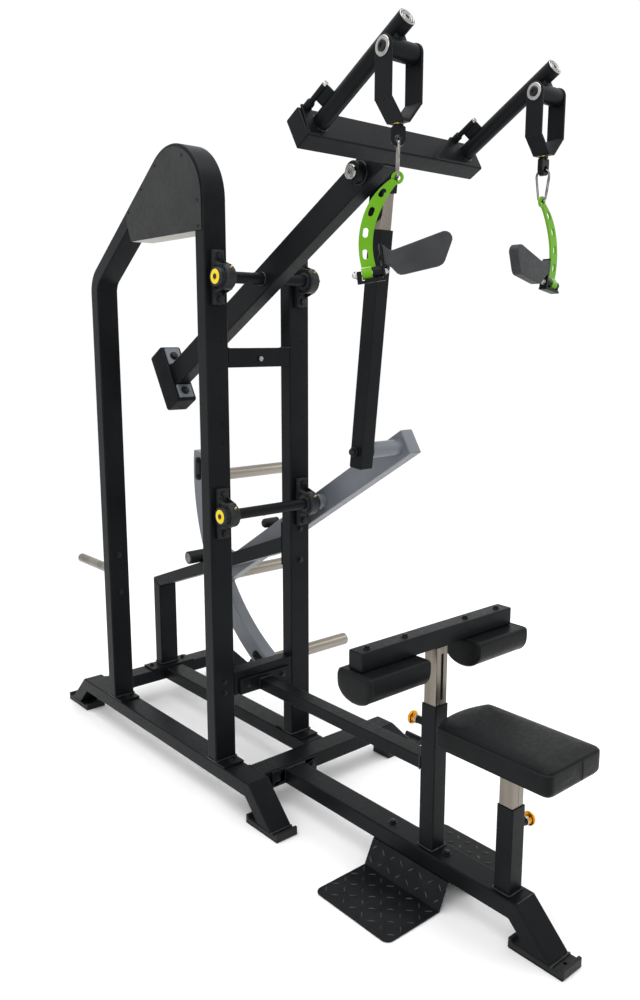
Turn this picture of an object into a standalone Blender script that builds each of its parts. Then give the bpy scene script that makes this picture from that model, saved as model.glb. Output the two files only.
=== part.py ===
"""Plate-loaded lat pulldown machine, built as its separate steel, rubber and padded pieces.

Design frame: X = 0 on the middle plane of the spine, +X towards the weight pegs, Y = 0 on the
front face of the uprights, -Y towards the seat, Z = 0 on the floor. The empty called "machine"
carries that frame to the part's own origin, the middle of its footprint.
"""

import math

import bmesh
import bpy
from mathutils import Matrix, Vector

# Overall
GAP = 0.0003
ORIGIN_X = 0.1524
ORIGIN_Y = -0.0540

# Frame tube, laid flat in the base and upright in the columns
TUBE_W = 0.080
TUBE_D = 0.050
PLATE = 0.006

# Base
RAIL_TOP = 0.134
RAIL_BOTTOM = RAIL_TOP - TUBE_D
SPINE_TOP = 0.127
SIDE_X = 0.160
FOOT_TOP = 0.018
FOOT_LIP = 0.028
FOOT_BOLT_RADIUS = 0.005
RAIL_FRONT_BEND = -0.179
RAIL_REAR_BEND = 0.969
CROSS_FRONT_Y = -0.115
CROSS_REAR_Y = 0.897
CROSS_BEND_X = 0.466
SPINE_PLATE_Y = -0.155
SPINE_FRONT_BEND = -1.082

# Uprights and the bent hoop on the left
UPRIGHT_TOP = 1.765
HOOP_REAR_Y = 0.745
HOOP_RADIUS = 0.175
HOOP_CENTRE_Z = 1.915
HOOP_SLOPE = math.radians(35.7)
HOOP_REAR_RADIUS = 0.100
BASE_PLATE_REACH = 0.046
SHROUD_INSET = 0.010
SHROUD_THICKNESS = 0.0025
SHROUD_BOTTOM = 1.825

# Cross ties and upper spine
UPPER_TIE_Z = (1.4205, 1.480)
LOWER_TIE_Z = (0.350, 0.430)
UPPER_SPINE_Z = (0.350, 0.388)

# Seat and thigh support
POST = 0.044
SLEEVE = 0.050
POCKET = 0.0452
THIGH_Y = -0.767
THIGH_SLEEVE_TOP = 0.545
THIGH_BAR_Z = (0.708, 0.758)
THIGH_BAR_X = 0.291
THIGH_PAD_X = (0.090, 0.310)
THIGH_PAD_Y = (-0.837, -0.712)
THIGH_PAD_DEPTH = 0.080
THIGH_KNOB_Z = 0.477
BOSS_LENGTH = 0.033
KNOB_HEAD = (0.060, 0.084)
SEAT_Y = -1.027
SEAT_SLEEVE_TOP = 0.361
SEAT_PAD_Y = (-1.205, -0.845)
SEAT_PAD_BOW = 0.016
SEAT_PAD_X = 0.106
SEAT_PAD_Z = (0.483, 0.550)
SEAT_KNOB_Z = 0.292

# Foot tread: one bent sheet of checker plate under the spine
TREAD_Y = (-0.863, -0.577)
TREAD_X = 0.266
TREAD_FOLD_X = 0.073
TREAD_SHEET = 0.005

# Bearings and shafts
SHAFT_Y = -0.0476
UPPER_SHAFT_Z = 1.688
LOWER_SHAFT_Z = 0.970
SHAFT_RADIUS = 0.0175
BLOCK_LENGTH = 0.160
BLOCK_HUB_RADIUS = 0.038
BLOCK_FOOT = 0.016
BLOCK_FOOT_HALF = 0.020
BLOCK_HUB_HALF = 0.014
COLLAR_HALF_WIDTH = 0.0242
COLLAR_RADIUS = 0.027
SHAFT_END_X = 0.1865
END_DISC_RADIUS = 0.0285
END_DISC = 0.010

# Upper lever, its crosshead, pull arms and counterweight
LEVER_DEPTH = 0.080
UPPER_ANGLE = math.radians(30.0)
LEVER_HALF_WIDTH = 0.025
LINK_REACH = 0.498
CROSSHEAD_REACH = 0.582
CROSSHEAD_HALF = 0.313
ARM_X = 0.2605
ARM_RADIUS = 0.021
ARM_REACH = 0.955
SLEEVE_REACH = 0.905
SLEEVE_DROP = 0.042
SLEEVE_RADIUS = 0.022
SLEEVE_HALF = 0.042
LEVER_TAIL = 0.604
WEIGHT_END = 0.700
WEIGHT_HALF_WIDTH = 0.0425
WEIGHT_Z = (-0.100, 0.117)

# Link between the two levers
LINK_X = (0.047, 0.097)
LINK_PIN_RADIUS = 0.010
INNER_TUBE = 0.040
INNER_TUBE_END = -0.340
OUTER_TUBE_TOP = -0.136
OUTER_TUBE_TAIL = 0.051

# Lower lever and its weight arm
LOWER_ANGLE = math.radians(31.6)
LOWER_REACH = 0.4106
LOWER_LEVER_X = (0.220, 0.270)
LOWER_LEVER_FRONT = 0.4476
ARC_RADII = (0.725, 0.805)
ARC_ANGLES = (math.radians(38.6), math.radians(-34.4))
PEG_ANGLE = math.radians(30.8)
PEG_RADIUS = 0.024
PEG_END_X = 0.645
BOSS_RADIUS = 0.024
ROLLER_RADIUS = 0.025
ROLLER_X = (0.075, 0.2345)
ROLLER_AT = (0.6953, 0.0793)

# Stop bracket on the frame
STOP_POST_Y = (0.887, 0.937)
STOP_TOP_REAR = (0.937, 0.5155)
STOP_TOP_FRONT = (0.0503, 0.8440)
STOP_DEPTH_REAR = 0.0285
STOP_DEPTH_FRONT = 0.055
STOP_PLATE_Z = (0.745, 0.895)

# Storage peg behind the hoop
STORAGE_Z = 0.632
STORAGE_RADIUS = 0.0175
STORAGE_END_Y = 1.015

# Stirrups and pull handles
STIRRUP_PLATE = 0.007
STIRRUP_HALF = 0.0495
STIRRUP_WIDTH = 0.048
STIRRUP_BEND = -0.101
STIRRUP_BOTTOM = -0.144
STIRRUP_TOE = 0.012
PIN_RADIUS = 0.008
SWIVEL_DROP = 0.0365
SWIVEL_EYE = -0.032
CARABINER_LENGTH = 0.0780
CARABINER_WIRE = 0.003
BOW_CENTRE = (0.103, -0.138)
BOW_RADIUS = 0.1705
BOW_HALF_WIDTH = 0.0155
BOW_TOP_WIDTH = 0.0075
BOW_TAPER = math.radians(30.0)
BOW_ANGLES = (math.radians(129.5), math.radians(198.0))
HANDLE_PLATE = 0.006
GRIP_AXIS_AT = (-0.064, -0.2010)
GRIP_AXIS_TILT = math.radians(9.0)
GRIP_SLEEVE_RADIUS = 0.0125
HANDLE_YAW = {"left": math.radians(-40.6), "right": math.radians(-176.0)}

# Colours: base colour, roughness, metallic
FINISHES = {
    "black_powder_coat": ((0.014, 0.016, 0.018), 0.42, 0.0),
    "grey_powder_coat": ((0.115, 0.130, 0.142), 0.40, 0.2),
    "shroud_sheet": ((0.055, 0.057, 0.060), 0.50, 0.1),
    "cast_bearing": ((0.030, 0.032, 0.035), 0.55, 0.3),
    "stainless": ((0.560, 0.520, 0.470), 0.28, 1.0),
    "chrome": ((0.700, 0.690, 0.670), 0.15, 1.0),
    "black_rubber": ((0.015, 0.015, 0.016), 0.75, 0.0),
    "black_vinyl": ((0.018, 0.018, 0.020), 0.45, 0.0),
    "green_powder_coat": ((0.160, 0.480, 0.012), 0.35, 0.0),
    "gold_knob": ((0.850, 0.420, 0.080), 0.30, 0.8),
    "checker_plate": ((0.020, 0.022, 0.024), 0.45, 0.1),
}


# ---------------------------------------------------------------- shape tools

def clear_scene():
    for existing in list(bpy.data.objects):
        bpy.data.objects.remove(existing, do_unlink=True)


def make_finishes():
    made = {}
    for name, (colour, roughness, metallic) in FINISHES.items():
        material = bpy.data.materials.new(name)
        material.use_nodes = True
        shader = material.node_tree.nodes["Principled BSDF"]
        shader.inputs["Base Color"].default_value = (*colour, 1.0)
        shader.inputs["Roughness"].default_value = roughness
        shader.inputs["Metallic"].default_value = metallic
        made[name] = material
    return made


def shape_from(bm):
    """A loose shape, linked to the scene, made from a bmesh that is then freed."""
    bmesh.ops.recalc_face_normals(bm, faces=bm.faces)
    mesh = bpy.data.meshes.new("shape")
    bm.to_mesh(mesh)
    bm.free()
    shape = bpy.data.objects.new("shape", mesh)
    bpy.context.scene.collection.objects.link(shape)
    return shape


def prism(outline, low, high, axis):
    """Closed prism of a flat outline. The outline is (Y, Z) along X, (X, Z) along Y, (X, Y) along Z."""
    bm = bmesh.new()
    rings = []
    for level in (low, high):
        ring = []
        for first, second in outline:
            point = {"X": (level, first, second), "Y": (first, level, second), "Z": (first, second, level)}
            ring.append(bm.verts.new(point[axis]))
        rings.append(ring)
    count = len(outline)
    bm.faces.new(rings[0])
    bm.faces.new(rings[1])
    for index in range(count):
        after = (index + 1) % count
        bm.faces.new((rings[0][index], rings[0][after], rings[1][after], rings[1][index]))
    return shape_from(bm)


def block(x_range, y_range, z_range):
    """Axis-aligned box between three pairs of limits."""
    low, high = z_range
    outline = [(y_range[0], low), (y_range[1], low), (y_range[1], high), (y_range[0], high)]
    return prism(outline, x_range[0], x_range[1], "X")


def arc(centre, radius, start, end, steps):
    """Points on an arc, ends included."""
    points = []
    for step in range(steps + 1):
        angle = start + (end - start) * step / steps
        points.append((centre[0] + radius * math.cos(angle), centre[1] + radius * math.sin(angle)))
    return points


def circle(centre, radius, sides=24):
    return arc(centre, radius, 0.0, 2.0 * math.pi * (sides - 1) / sides, sides - 1)


def rod(centre, radius, low, high, axis, sides=24):
    """Round bar along one axis; centre is the pair of coordinates across it."""
    return prism(circle(centre, radius, sides), low, high, axis)


def obround(centre, half_length, radius, angle, steps=6):
    """Slot outline with round ends, its long side at an angle."""
    points = []
    for sign, turn in ((1.0, 0.0), (-1.0, math.pi)):
        end = (
            centre[0] + sign * half_length * math.cos(angle),
            centre[1] + sign * half_length * math.sin(angle),
        )
        points += arc(end, radius, angle + turn - math.pi / 2, angle + turn + math.pi / 2, steps)
    return points


def rounded_rectangle(low, high, radius, steps=5):
    """Rectangle outline with four round corners."""
    corners = (
        (high[0] - radius, high[1] - radius, 0.0),
        (low[0] + radius, high[1] - radius, 0.5),
        (low[0] + radius, low[1] + radius, 1.0),
        (high[0] - radius, low[1] + radius, 1.5),
    )
    points = []
    for first, second, turn in corners:
        points += arc((first, second), radius, turn * math.pi, (turn + 0.5) * math.pi, steps)
    return points


def loop_tube(centreline, radius, sides=10):
    """Closed ring of wire that follows a closed centreline."""
    bm = bmesh.new()
    rings = []
    count = len(centreline)
    for index in range(count):
        before = Vector(centreline[index - 1])
        after = Vector(centreline[(index + 1) % count])
        direction = (after - before).normalized()
        across = Vector((1.0, 0.0, 0.0))
        outward = direction.cross(across)
        ring = []
        for side in range(sides):
            angle = 2.0 * math.pi * side / sides
            offset = across * math.cos(angle) + outward * math.sin(angle)
            ring.append(bm.verts.new(Vector(centreline[index]) + offset * radius))
        rings.append(ring)
    for index in range(count):
        here = rings[index]
        following = rings[(index + 1) % count]
        for side in range(sides):
            other = (side + 1) % sides
            bm.faces.new((here[side], here[other], following[other], following[side]))
    return shape_from(bm)


def combine(target, tool, operation):
    """Apply one exact Boolean to target and remove the tool."""
    modifier = target.modifiers.new("Boolean", "BOOLEAN")
    modifier.operation = operation
    modifier.solver = "EXACT"
    modifier.object = tool
    bpy.context.view_layer.update()
    graph = bpy.context.evaluated_depsgraph_get()
    result = bpy.data.meshes.new_from_object(target.evaluated_get(graph))
    target.modifiers.clear()
    target.data = result
    bpy.data.objects.remove(tool, do_unlink=True)


def piece(name, finish, frame, shapes, cuts=(), bevel=0.0, smooth=False):
    """One named solid in a joint's frame: its shapes joined, then its cuts taken away."""
    solid = shapes[0]
    for extra in shapes[1:]:
        combine(solid, extra, "UNION")
    for cutter in cuts:
        combine(solid, cutter, "DIFFERENCE")
    solid.name = name
    solid.data.name = name
    solid.data.materials.clear()
    solid.data.materials.append(finishes[finish])
    solid.parent = frame
    if bevel > 0.0:
        rounding = solid.modifiers.new("Rounded edges", "BEVEL")
        rounding.width = bevel
        rounding.segments = 3
        rounding.limit_method = "ANGLE"
        rounding.angle_limit = math.radians(40.0)
    if smooth:
        solid.data.shade_smooth()
        solid.data.set_sharp_from_angle(angle=math.radians(35.0))
    return solid


def joint_frame(name, position, parent, tilt=0.0, yaw=0.0):
    """Empty on a joint's axis. Position is in the design frame; tilt turns about X, yaw about Z."""
    frame = bpy.data.objects.new(name, None)
    bpy.context.scene.collection.objects.link(frame)
    frame.parent = parent
    bpy.context.view_layer.update()
    turn = Matrix.Rotation(tilt, 4, "X") @ Matrix.Rotation(yaw, 4, "Z")
    frame.matrix_world = machine.matrix_world @ Matrix.Translation(position) @ turn
    bpy.context.view_layer.update()
    return frame


# ---------------------------------------------------------------- base

def beam_outline(start, end, bend_start, bend_end, top):
    """Side outline of a base beam whose chosen ends bend down 45 degrees to the feet."""
    bottom = top - TUBE_D
    low = FOOT_TOP + GAP
    inner = TUBE_D * math.tan(math.radians(22.5))
    points = []
    if bend_start:
        points += [(start + inner, bottom), (start + inner - (bottom - low), low)]
        points += [(start - (top - low), low)]
        points.append((start, top))
    else:
        points += [(start, bottom), (start, top)]
    if bend_end:
        points += [(end, top), (end + (top - low), low), (end - inner + (bottom - low), low)]
        points.append((end - inner, bottom))
    else:
        points += [(end, top), (end, bottom)]
    return points


def foot(name, inner, outer, low, high, axis):
    """Rubber foot with a raised lip at each end and a hole for a floor bolt."""
    way = 1.0 if outer > inner else -1.0
    outline = []
    for end, inward in ((outer, -way), (inner, way)):
        lip = [(end + inward * 0.003, 0.0), (end, 0.003), (end, FOOT_LIP)]
        lip += [(end + inward * 0.010, FOOT_LIP), (end + inward * 0.014, FOOT_TOP)]
        outline += lip if end == outer else lip[::-1]
    along = outer - way * 0.022
    middle = (low + high) / 2
    centre = (middle, along) if axis == "X" else (along, middle)
    hole = rod(centre, FOOT_BOLT_RADIUS, -0.01, 0.05, "Z", 16)
    piece(name, "black_rubber", machine, [prism(outline, low, high, axis)], [hole])


def build_base():
    half = TUBE_W / 2
    left = (-SIDE_X - half, -SIDE_X + half)
    right = (SIDE_X - half, SIDE_X + half)
    rail = beam_outline(RAIL_FRONT_BEND, RAIL_REAR_BEND, True, True, RAIL_TOP)
    piece("left_base_rail", "black_powder_coat", machine, [prism(rail, *left, "X")])
    cross = beam_outline(left[1] + GAP, CROSS_BEND_X, False, True, RAIL_TOP)
    for name, middle in (("front_cross_beam", CROSS_FRONT_Y), ("rear_cross_beam", CROSS_REAR_Y)):
        piece(name, "black_powder_coat", machine, [prism(cross, middle - half, middle + half, "Y")])
    y_range = (CROSS_FRONT_Y + half + GAP, CROSS_REAR_Y - half - GAP)
    piece("middle_rail", "black_powder_coat", machine, [block(right, y_range, (RAIL_BOTTOM, RAIL_TOP))])

    spine_start = SPINE_PLATE_Y - PLATE - 2 * GAP
    spine = beam_outline(SPINE_FRONT_BEND, spine_start, True, False, SPINE_TOP)
    plate_y = (SPINE_PLATE_Y - PLATE - GAP - 0.004, SPINE_PLATE_Y - GAP)
    plate = block((-0.094, 0.094), plate_y, (SPINE_TOP - TUBE_D, RAIL_TOP - 0.002))
    piece("lower_spine", "black_powder_coat", machine, [prism(spine, -half, half, "X"), plate])

    foot("foot_front_left", -0.162, -0.325, *left, "X")
    foot("foot_rear_left", 0.950, 1.119, *left, "X")
    foot("foot_front_right", 0.443, 0.627, CROSS_FRONT_Y - half, CROSS_FRONT_Y + half, "Y")
    foot("foot_rear_right", 0.443, 0.627, CROSS_REAR_Y - half, CROSS_REAR_Y + half, "Y")
    foot("foot_seat_end", -1.063, -1.227, -half, half, "X")


def build_tread():
    """Checker plate pinched under the spine, bent down on both sides to the floor."""
    top = SPINE_TOP - TUBE_D - GAP
    low = 0.001
    edge = TUBE_W / 2
    upper = [(-TREAD_X, low + TREAD_SHEET), (-TREAD_FOLD_X, low + TREAD_SHEET), (-edge, top)]
    upper += [(edge, top), (TREAD_FOLD_X, low + TREAD_SHEET), (TREAD_X, low + TREAD_SHEET)]
    lower = [(TREAD_X, low), (TREAD_FOLD_X - 0.004, low), (edge - 0.003, top - TREAD_SHEET)]
    lower += [(-edge + 0.003, top - TREAD_SHEET), (-TREAD_FOLD_X + 0.004, low), (-TREAD_X, low)]
    piece("foot_tread", "checker_plate", machine, [prism(upper + lower, *TREAD_Y, "Y")])


# ---------------------------------------------------------------- uprights

def hoop_frame():
    """The head's centre, the slope's outward normal and the slope line's distance along it."""
    centre = (HOOP_RADIUS, HOOP_CENTRE_Z)
    normal = (math.sin(HOOP_SLOPE), math.cos(HOOP_SLOPE))
    distance = normal[0] * centre[0] + normal[1] * centre[1] + HOOP_RADIUS
    return centre, normal, distance


def build_hoop():
    """Front and rear columns joined by a bent head and a sloping back, in one bent tube."""
    centre, normal, distance = hoop_frame()
    end_angle = math.pi / 2 - HOOP_SLOPE
    rear_y = HOOP_REAR_Y - HOOP_REAR_RADIUS
    rear_z = (distance - HOOP_REAR_RADIUS - normal[0] * rear_y) / normal[1]
    low = RAIL_TOP + GAP
    step = low + PLATE
    front = 0.0
    inner_front = TUBE_D
    inner_rear = HOOP_REAR_Y - TUBE_D
    outline = [(front - BASE_PLATE_REACH, low), (front - BASE_PLATE_REACH, step), (front, step)]
    outline += arc(centre, HOOP_RADIUS, math.pi, end_angle, 14)
    outline += arc((rear_y, rear_z), HOOP_REAR_RADIUS, end_angle, 0.0, 6)
    outline += [(HOOP_REAR_Y, step), (HOOP_REAR_Y + BASE_PLATE_REACH, step)]
    outline += [(HOOP_REAR_Y + BASE_PLATE_REACH, low), (inner_rear - BASE_PLATE_REACH, low)]
    outline += [(inner_rear - BASE_PLATE_REACH, step), (inner_rear, step)]
    outline += arc((rear_y, rear_z), HOOP_REAR_RADIUS - TUBE_D, 0.0, end_angle, 6)
    outline += arc(centre, HOOP_RADIUS - TUBE_D, end_angle, math.pi, 14)
    plate_edge = inner_front + BASE_PLATE_REACH
    outline += [(inner_front, step), (plate_edge, step), (plate_edge, low)]
    half = TUBE_W / 2
    piece("left_hoop", "black_powder_coat", machine, [prism(outline, -SIDE_X - half, -SIDE_X + half, "X")])


def build_shroud():
    """Two sheet panels over the hoop's head; the inner one carries the folded-in floor."""
    centre, normal, distance = hoop_frame()
    end_angle = math.pi / 2 - HOOP_SLOPE
    corner_y = 0.462
    corner_z = (distance - SHROUD_INSET - normal[0] * corner_y) / normal[1]
    outline = [(SHROUD_INSET, SHROUD_BOTTOM)]
    outline += arc(centre, HOOP_RADIUS - SHROUD_INSET, math.pi, end_angle, 14)
    outline += [(corner_y, corner_z), (0.456, 1.880), (0.433, SHROUD_BOTTOM)]
    half = TUBE_W / 2
    outer_face = -SIDE_X - half - GAP
    inner_face = -SIDE_X + half + GAP
    outer = prism(outline, outer_face - SHROUD_THICKNESS, outer_face, "X")
    piece("shroud_outer_panel", "shroud_sheet", machine, [outer])
    inner = prism(outline, inner_face, inner_face + SHROUD_THICKNESS, "X")
    fold_x = (outer_face + 2 * GAP, inner_face + SHROUD_THICKNESS)
    fold = block(fold_x, (TUBE_D + GAP, 0.432), (SHROUD_BOTTOM, SHROUD_BOTTOM + 0.002))
    piece("shroud_inner_panel", "shroud_sheet", machine, [inner, fold])


def build_columns():
    half = TUBE_W / 2
    low = RAIL_TOP + GAP
    right = (SIDE_X - half, SIDE_X + half)
    column = block(right, (0.0, TUBE_D), (low, UPRIGHT_TOP))
    plate = block(right, (-BASE_PLATE_REACH, TUBE_D + BASE_PLATE_REACH), (low, low + PLATE))
    piece("right_upright", "black_powder_coat", machine, [column, plate])
    tie_x = (-SIDE_X + half + GAP, SIDE_X - half - GAP)
    for name, z_range in (("upper_tie_bar", UPPER_TIE_Z), ("lower_cross_tie", LOWER_TIE_Z)):
        piece(name, "black_powder_coat", machine, [block(tie_x, (0.0, TUBE_D), z_range)])
    spine_y = (THIGH_Y + SLEEVE / 2 + GAP, -0.010)
    tube = block((-SLEEVE / 2, SLEEVE / 2), spine_y, UPPER_SPINE_Z)
    plate = block((-0.103, 0.103), (-0.0103, -GAP), (UPPER_SPINE_Z[0], UPPER_SPINE_Z[0] + 0.053))
    piece("upper_spine", "black_powder_coat", machine, [plate, tube])


def build_stop():
    """Post on the rear cross beam and the sloping bar that the roller rests on."""
    half = TUBE_W / 2
    right = (SIDE_X - half, SIDE_X + half)
    low = RAIL_TOP + GAP
    front_cut = STOP_TOP_REAR[1] - STOP_DEPTH_REAR
    post = [(STOP_POST_Y[0], low), (STOP_POST_Y[1], low), (STOP_POST_Y[1], STOP_TOP_REAR[1] - GAP)]
    post.append((STOP_POST_Y[0], front_cut - GAP))
    plate = block((0.060, 0.260), (CROSS_REAR_Y - half, CROSS_REAR_Y + half), (low, low + PLATE))
    piece("stop_post", "black_powder_coat", machine, [prism(post, *right, "X"), plate])
    bar = [STOP_TOP_REAR, (STOP_TOP_FRONT[0] + 0.003, STOP_TOP_FRONT[1])]
    bar += [(STOP_TOP_FRONT[0] + 0.003, STOP_TOP_FRONT[1] - STOP_DEPTH_FRONT), (STOP_POST_Y[0], front_cut)]
    end_plate = block(right, (STOP_TOP_FRONT[0], STOP_TOP_FRONT[0] + PLATE), STOP_PLATE_Z)
    piece("stop_bar", "black_powder_coat", machine, [prism(bar, *right, "X"), end_plate])


def build_storage_peg():
    y_start = HOOP_REAR_Y + GAP
    peg = rod((-SIDE_X, STORAGE_Z), STORAGE_RADIUS, y_start + 0.003, STORAGE_END_Y, "Y")
    plate = block((-SIDE_X - 0.030, -SIDE_X + 0.030), (y_start, y_start + PLATE), (0.535, 0.723))
    piece("storage_peg", "stainless", machine, [plate, peg], smooth=True)


def bearing(name, middle, height):
    """Pillow block: bolted foot, round hub and the insert's collar, bored for the shaft."""
    back = -GAP
    foot_y = back - BLOCK_FOOT
    half = BLOCK_LENGTH / 2
    opening = math.acos((SHAFT_Y - foot_y) / -BLOCK_HUB_RADIUS)
    outline = [(back, height - half), (foot_y, height - half), (foot_y, height - 0.052)]
    outline += arc((SHAFT_Y, height), BLOCK_HUB_RADIUS, -opening, opening - 2 * math.pi, 16)
    outline += [(foot_y, height + 0.052), (foot_y, height + half), (back, height + half)]
    body = prism(outline, middle - BLOCK_HUB_HALF, middle + BLOCK_HUB_HALF, "X")
    foot_x = (middle - BLOCK_FOOT_HALF, middle + BLOCK_FOOT_HALF)
    base = block(foot_x, (foot_y + 0.001, back), (height - half + 0.0005, height + half - 0.0005))
    collar_x = (middle - COLLAR_HALF_WIDTH, middle + COLLAR_HALF_WIDTH)
    collar = rod((SHAFT_Y, height), COLLAR_RADIUS, *collar_x, "X")
    bore = rod((SHAFT_Y, height), SHAFT_RADIUS + GAP, middle - 0.05, middle + 0.05, "X")
    piece(name, "cast_bearing", machine, [body, base, collar], [bore], smooth=True)


def build_bearings():
    for level, height in (("upper", UPPER_SHAFT_Z), ("lower", LOWER_SHAFT_Z)):
        bearing(level + "_left_bearing", -SIDE_X, height)
        bearing(level + "_right_bearing", SIDE_X, height)


# ---------------------------------------------------------------- seat and thigh support

def build_sleeve(name, y_middle, top, knob_side, knob_z):
    """Square sleeve, open at the top, with a threaded boss for its pull pin."""
    half = SLEEVE / 2
    inner = POCKET / 2
    low = SPINE_TOP + GAP
    tube = block((-half, half), (y_middle - half, y_middle + half), (low, top))
    pocket = block((-inner, inner), (y_middle - inner, y_middle + inner), (low + 0.010, top + 0.05))
    reach = (half - 0.002, half + BOSS_LENGTH)
    if knob_side == "Y":
        low_y = y_middle + reach[0]
        high_y = y_middle + reach[1]
        boss = rod((0.0, knob_z), 0.011, low_y, high_y, "Y", 12)
        bore = rod((0.0, knob_z), 0.0055, y_middle, high_y + 0.02, "Y", 12)
    else:
        boss = rod((y_middle, knob_z), 0.011, *reach, "X", 12)
        bore = rod((y_middle, knob_z), 0.0055, 0.0, reach[1] + 0.02, "X", 12)
    piece(name, "black_powder_coat", machine, [tube, boss], [pocket, bore])


def build_knob(name, y_middle, knob_side, knob_z):
    """Pull pin: plunger through the boss and a knob to hold."""
    start = POST / 2 + 0.0008
    head = KNOB_HEAD
    frame = joint_frame(name + "_axis", (0.0, y_middle, knob_z), machine)
    shank = rod((0.0, 0.0), 0.005, start, head[0] + 0.004, knob_side, 12)
    grip = rod((0.0, 0.0), 0.016, *head, knob_side, 16)
    flange = rod((0.0, 0.0), 0.019, head[1] - 0.008, head[1], knob_side, 16)
    piece(name, "gold_knob", frame, [grip, shank, flange], smooth=True)


def build_seat():
    half = POST / 2
    frame = joint_frame("seat_slide", (0.0, SEAT_Y, SEAT_PAD_Z[0]), machine)
    post = block((-half, half), (-half, half), (-0.293, -GAP - 0.004))
    plate = block((-0.060, 0.060), (-0.070, 0.080), (-GAP - 0.005, -GAP))
    piece("seat_post", "chrome", frame, [plate, post])
    y_range = (SEAT_PAD_Y[0] - SEAT_Y, SEAT_PAD_Y[1] - SEAT_Y)
    low, shoulder = y_range[0], y_range[1] - SEAT_PAD_BOW
    outline = rounded_rectangle((-SEAT_PAD_X, low), (SEAT_PAD_X, shoulder), 0.018)
    bow_radius = (SEAT_PAD_BOW ** 2 + (SEAT_PAD_X - 0.018) ** 2) / (2 * SEAT_PAD_BOW)
    spread = math.asin((SEAT_PAD_X - 0.018) / bow_radius)
    centre = (0.0, shoulder + SEAT_PAD_BOW - bow_radius)
    bow = arc(centre, bow_radius, math.pi / 2 - spread, math.pi / 2 + spread, 12)
    outline = outline[:6] + bow[1:-1] + outline[6:]
    pad = prism(outline, 0.0, SEAT_PAD_Z[1] - SEAT_PAD_Z[0], "Z")
    piece("seat_pad", "black_vinyl", frame, [pad], bevel=0.012, smooth=True)


def build_thigh_support():
    half = POST / 2
    frame = joint_frame("thigh_slide", (0.0, THIGH_Y, THIGH_BAR_Z[0]), machine)
    piece("thigh_post", "chrome", frame, [block((-half, half), (-half, half), (-0.400, -GAP))])
    bar = block((-THIGH_BAR_X, THIGH_BAR_X), (-TUBE_D / 2 + 0.004, TUBE_D / 2 + 0.004), (0.0, 0.050))
    piece("thigh_bar", "black_powder_coat", frame, [bar])
    front = THIGH_PAD_Y[0] - THIGH_Y
    rear = THIGH_PAD_Y[1] - THIGH_Y
    middle = (front + rear) / 2
    radius = (rear - front) / 2
    flank = THIGH_PAD_DEPTH - 0.046
    outline = [(rear, -GAP), (front, -GAP)]
    for step in range(13):
        angle = math.pi + math.pi * step / 12
        outline.append((middle + radius * math.cos(angle), -flank + 0.046 * math.sin(angle)))
    for side, way in (("left", -1.0), ("right", 1.0)):
        ends = sorted((way * THIGH_PAD_X[0], way * THIGH_PAD_X[1]))
        pad = prism(outline, *ends, "X")
        piece(side + "_thigh_pad", "black_vinyl", frame, [pad], bevel=0.008, smooth=True)


# ---------------------------------------------------------------- upper lever

def shaft_shapes(end_x):
    """Shaft with the retaining disc on its left end, about its own axis."""
    shaft = rod((0.0, 0.0), SHAFT_RADIUS, -SHAFT_END_X, end_x, "X")
    disc = rod((0.0, 0.0), END_DISC_RADIUS, -SHAFT_END_X - END_DISC, -SHAFT_END_X, "X")
    return [disc, shaft]


def pull_arm(side, way):
    """Round arm on the crosshead, with the stirrup's cross sleeve under it and a band hook at its root."""
    x = way * ARM_X
    start = CROSSHEAD_REACH + TUBE_D + GAP
    arm = rod((x, 0.0), ARM_RADIUS, -ARM_REACH, -start - 0.0005, "Y")
    sleeve_x = (x - SLEEVE_HALF, x + SLEEVE_HALF)
    sleeve = rod((-SLEEVE_REACH, -SLEEVE_DROP), SLEEVE_RADIUS, *sleeve_x, "X")
    neck_y = (-SLEEVE_REACH - 0.016, -SLEEVE_REACH + 0.016)
    neck = block((x - 0.013, x + 0.013), neck_y, (-SLEEVE_DROP + 0.004, -0.008))
    hook_x = x - 0.028
    hook = rod((hook_x, 0.0365), 0.007, -start - 0.084, -start - 0.002, "Y", 12)
    edge = max(x - 0.145, -CROSSHEAD_HALF + 0.002)
    foot_plate = prism(
        [(edge, -0.038), (x - 0.018, -0.038), (x - 0.021, 0.004), (x - 0.012, 0.044), (x - 0.043, 0.044)],
        -start - PLATE, -start, "Y",
    )
    blade = prism(
        [(hook_x - 0.002, 0.035), (hook_x + 0.002, 0.039), (x - 0.006, 0.014), (x - 0.010, 0.010)],
        -start - 0.083, -start - 0.040, "Y",
    )
    bore = rod((-SLEEVE_REACH, -SLEEVE_DROP), PIN_RADIUS + 2 * GAP, x - 0.06, x + 0.06, "X")
    shapes = [arm, neck, sleeve, foot_plate, hook, blade]
    piece(side + "_pull_arm", "black_powder_coat", upper_frame, shapes, [bore], smooth=True)


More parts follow.
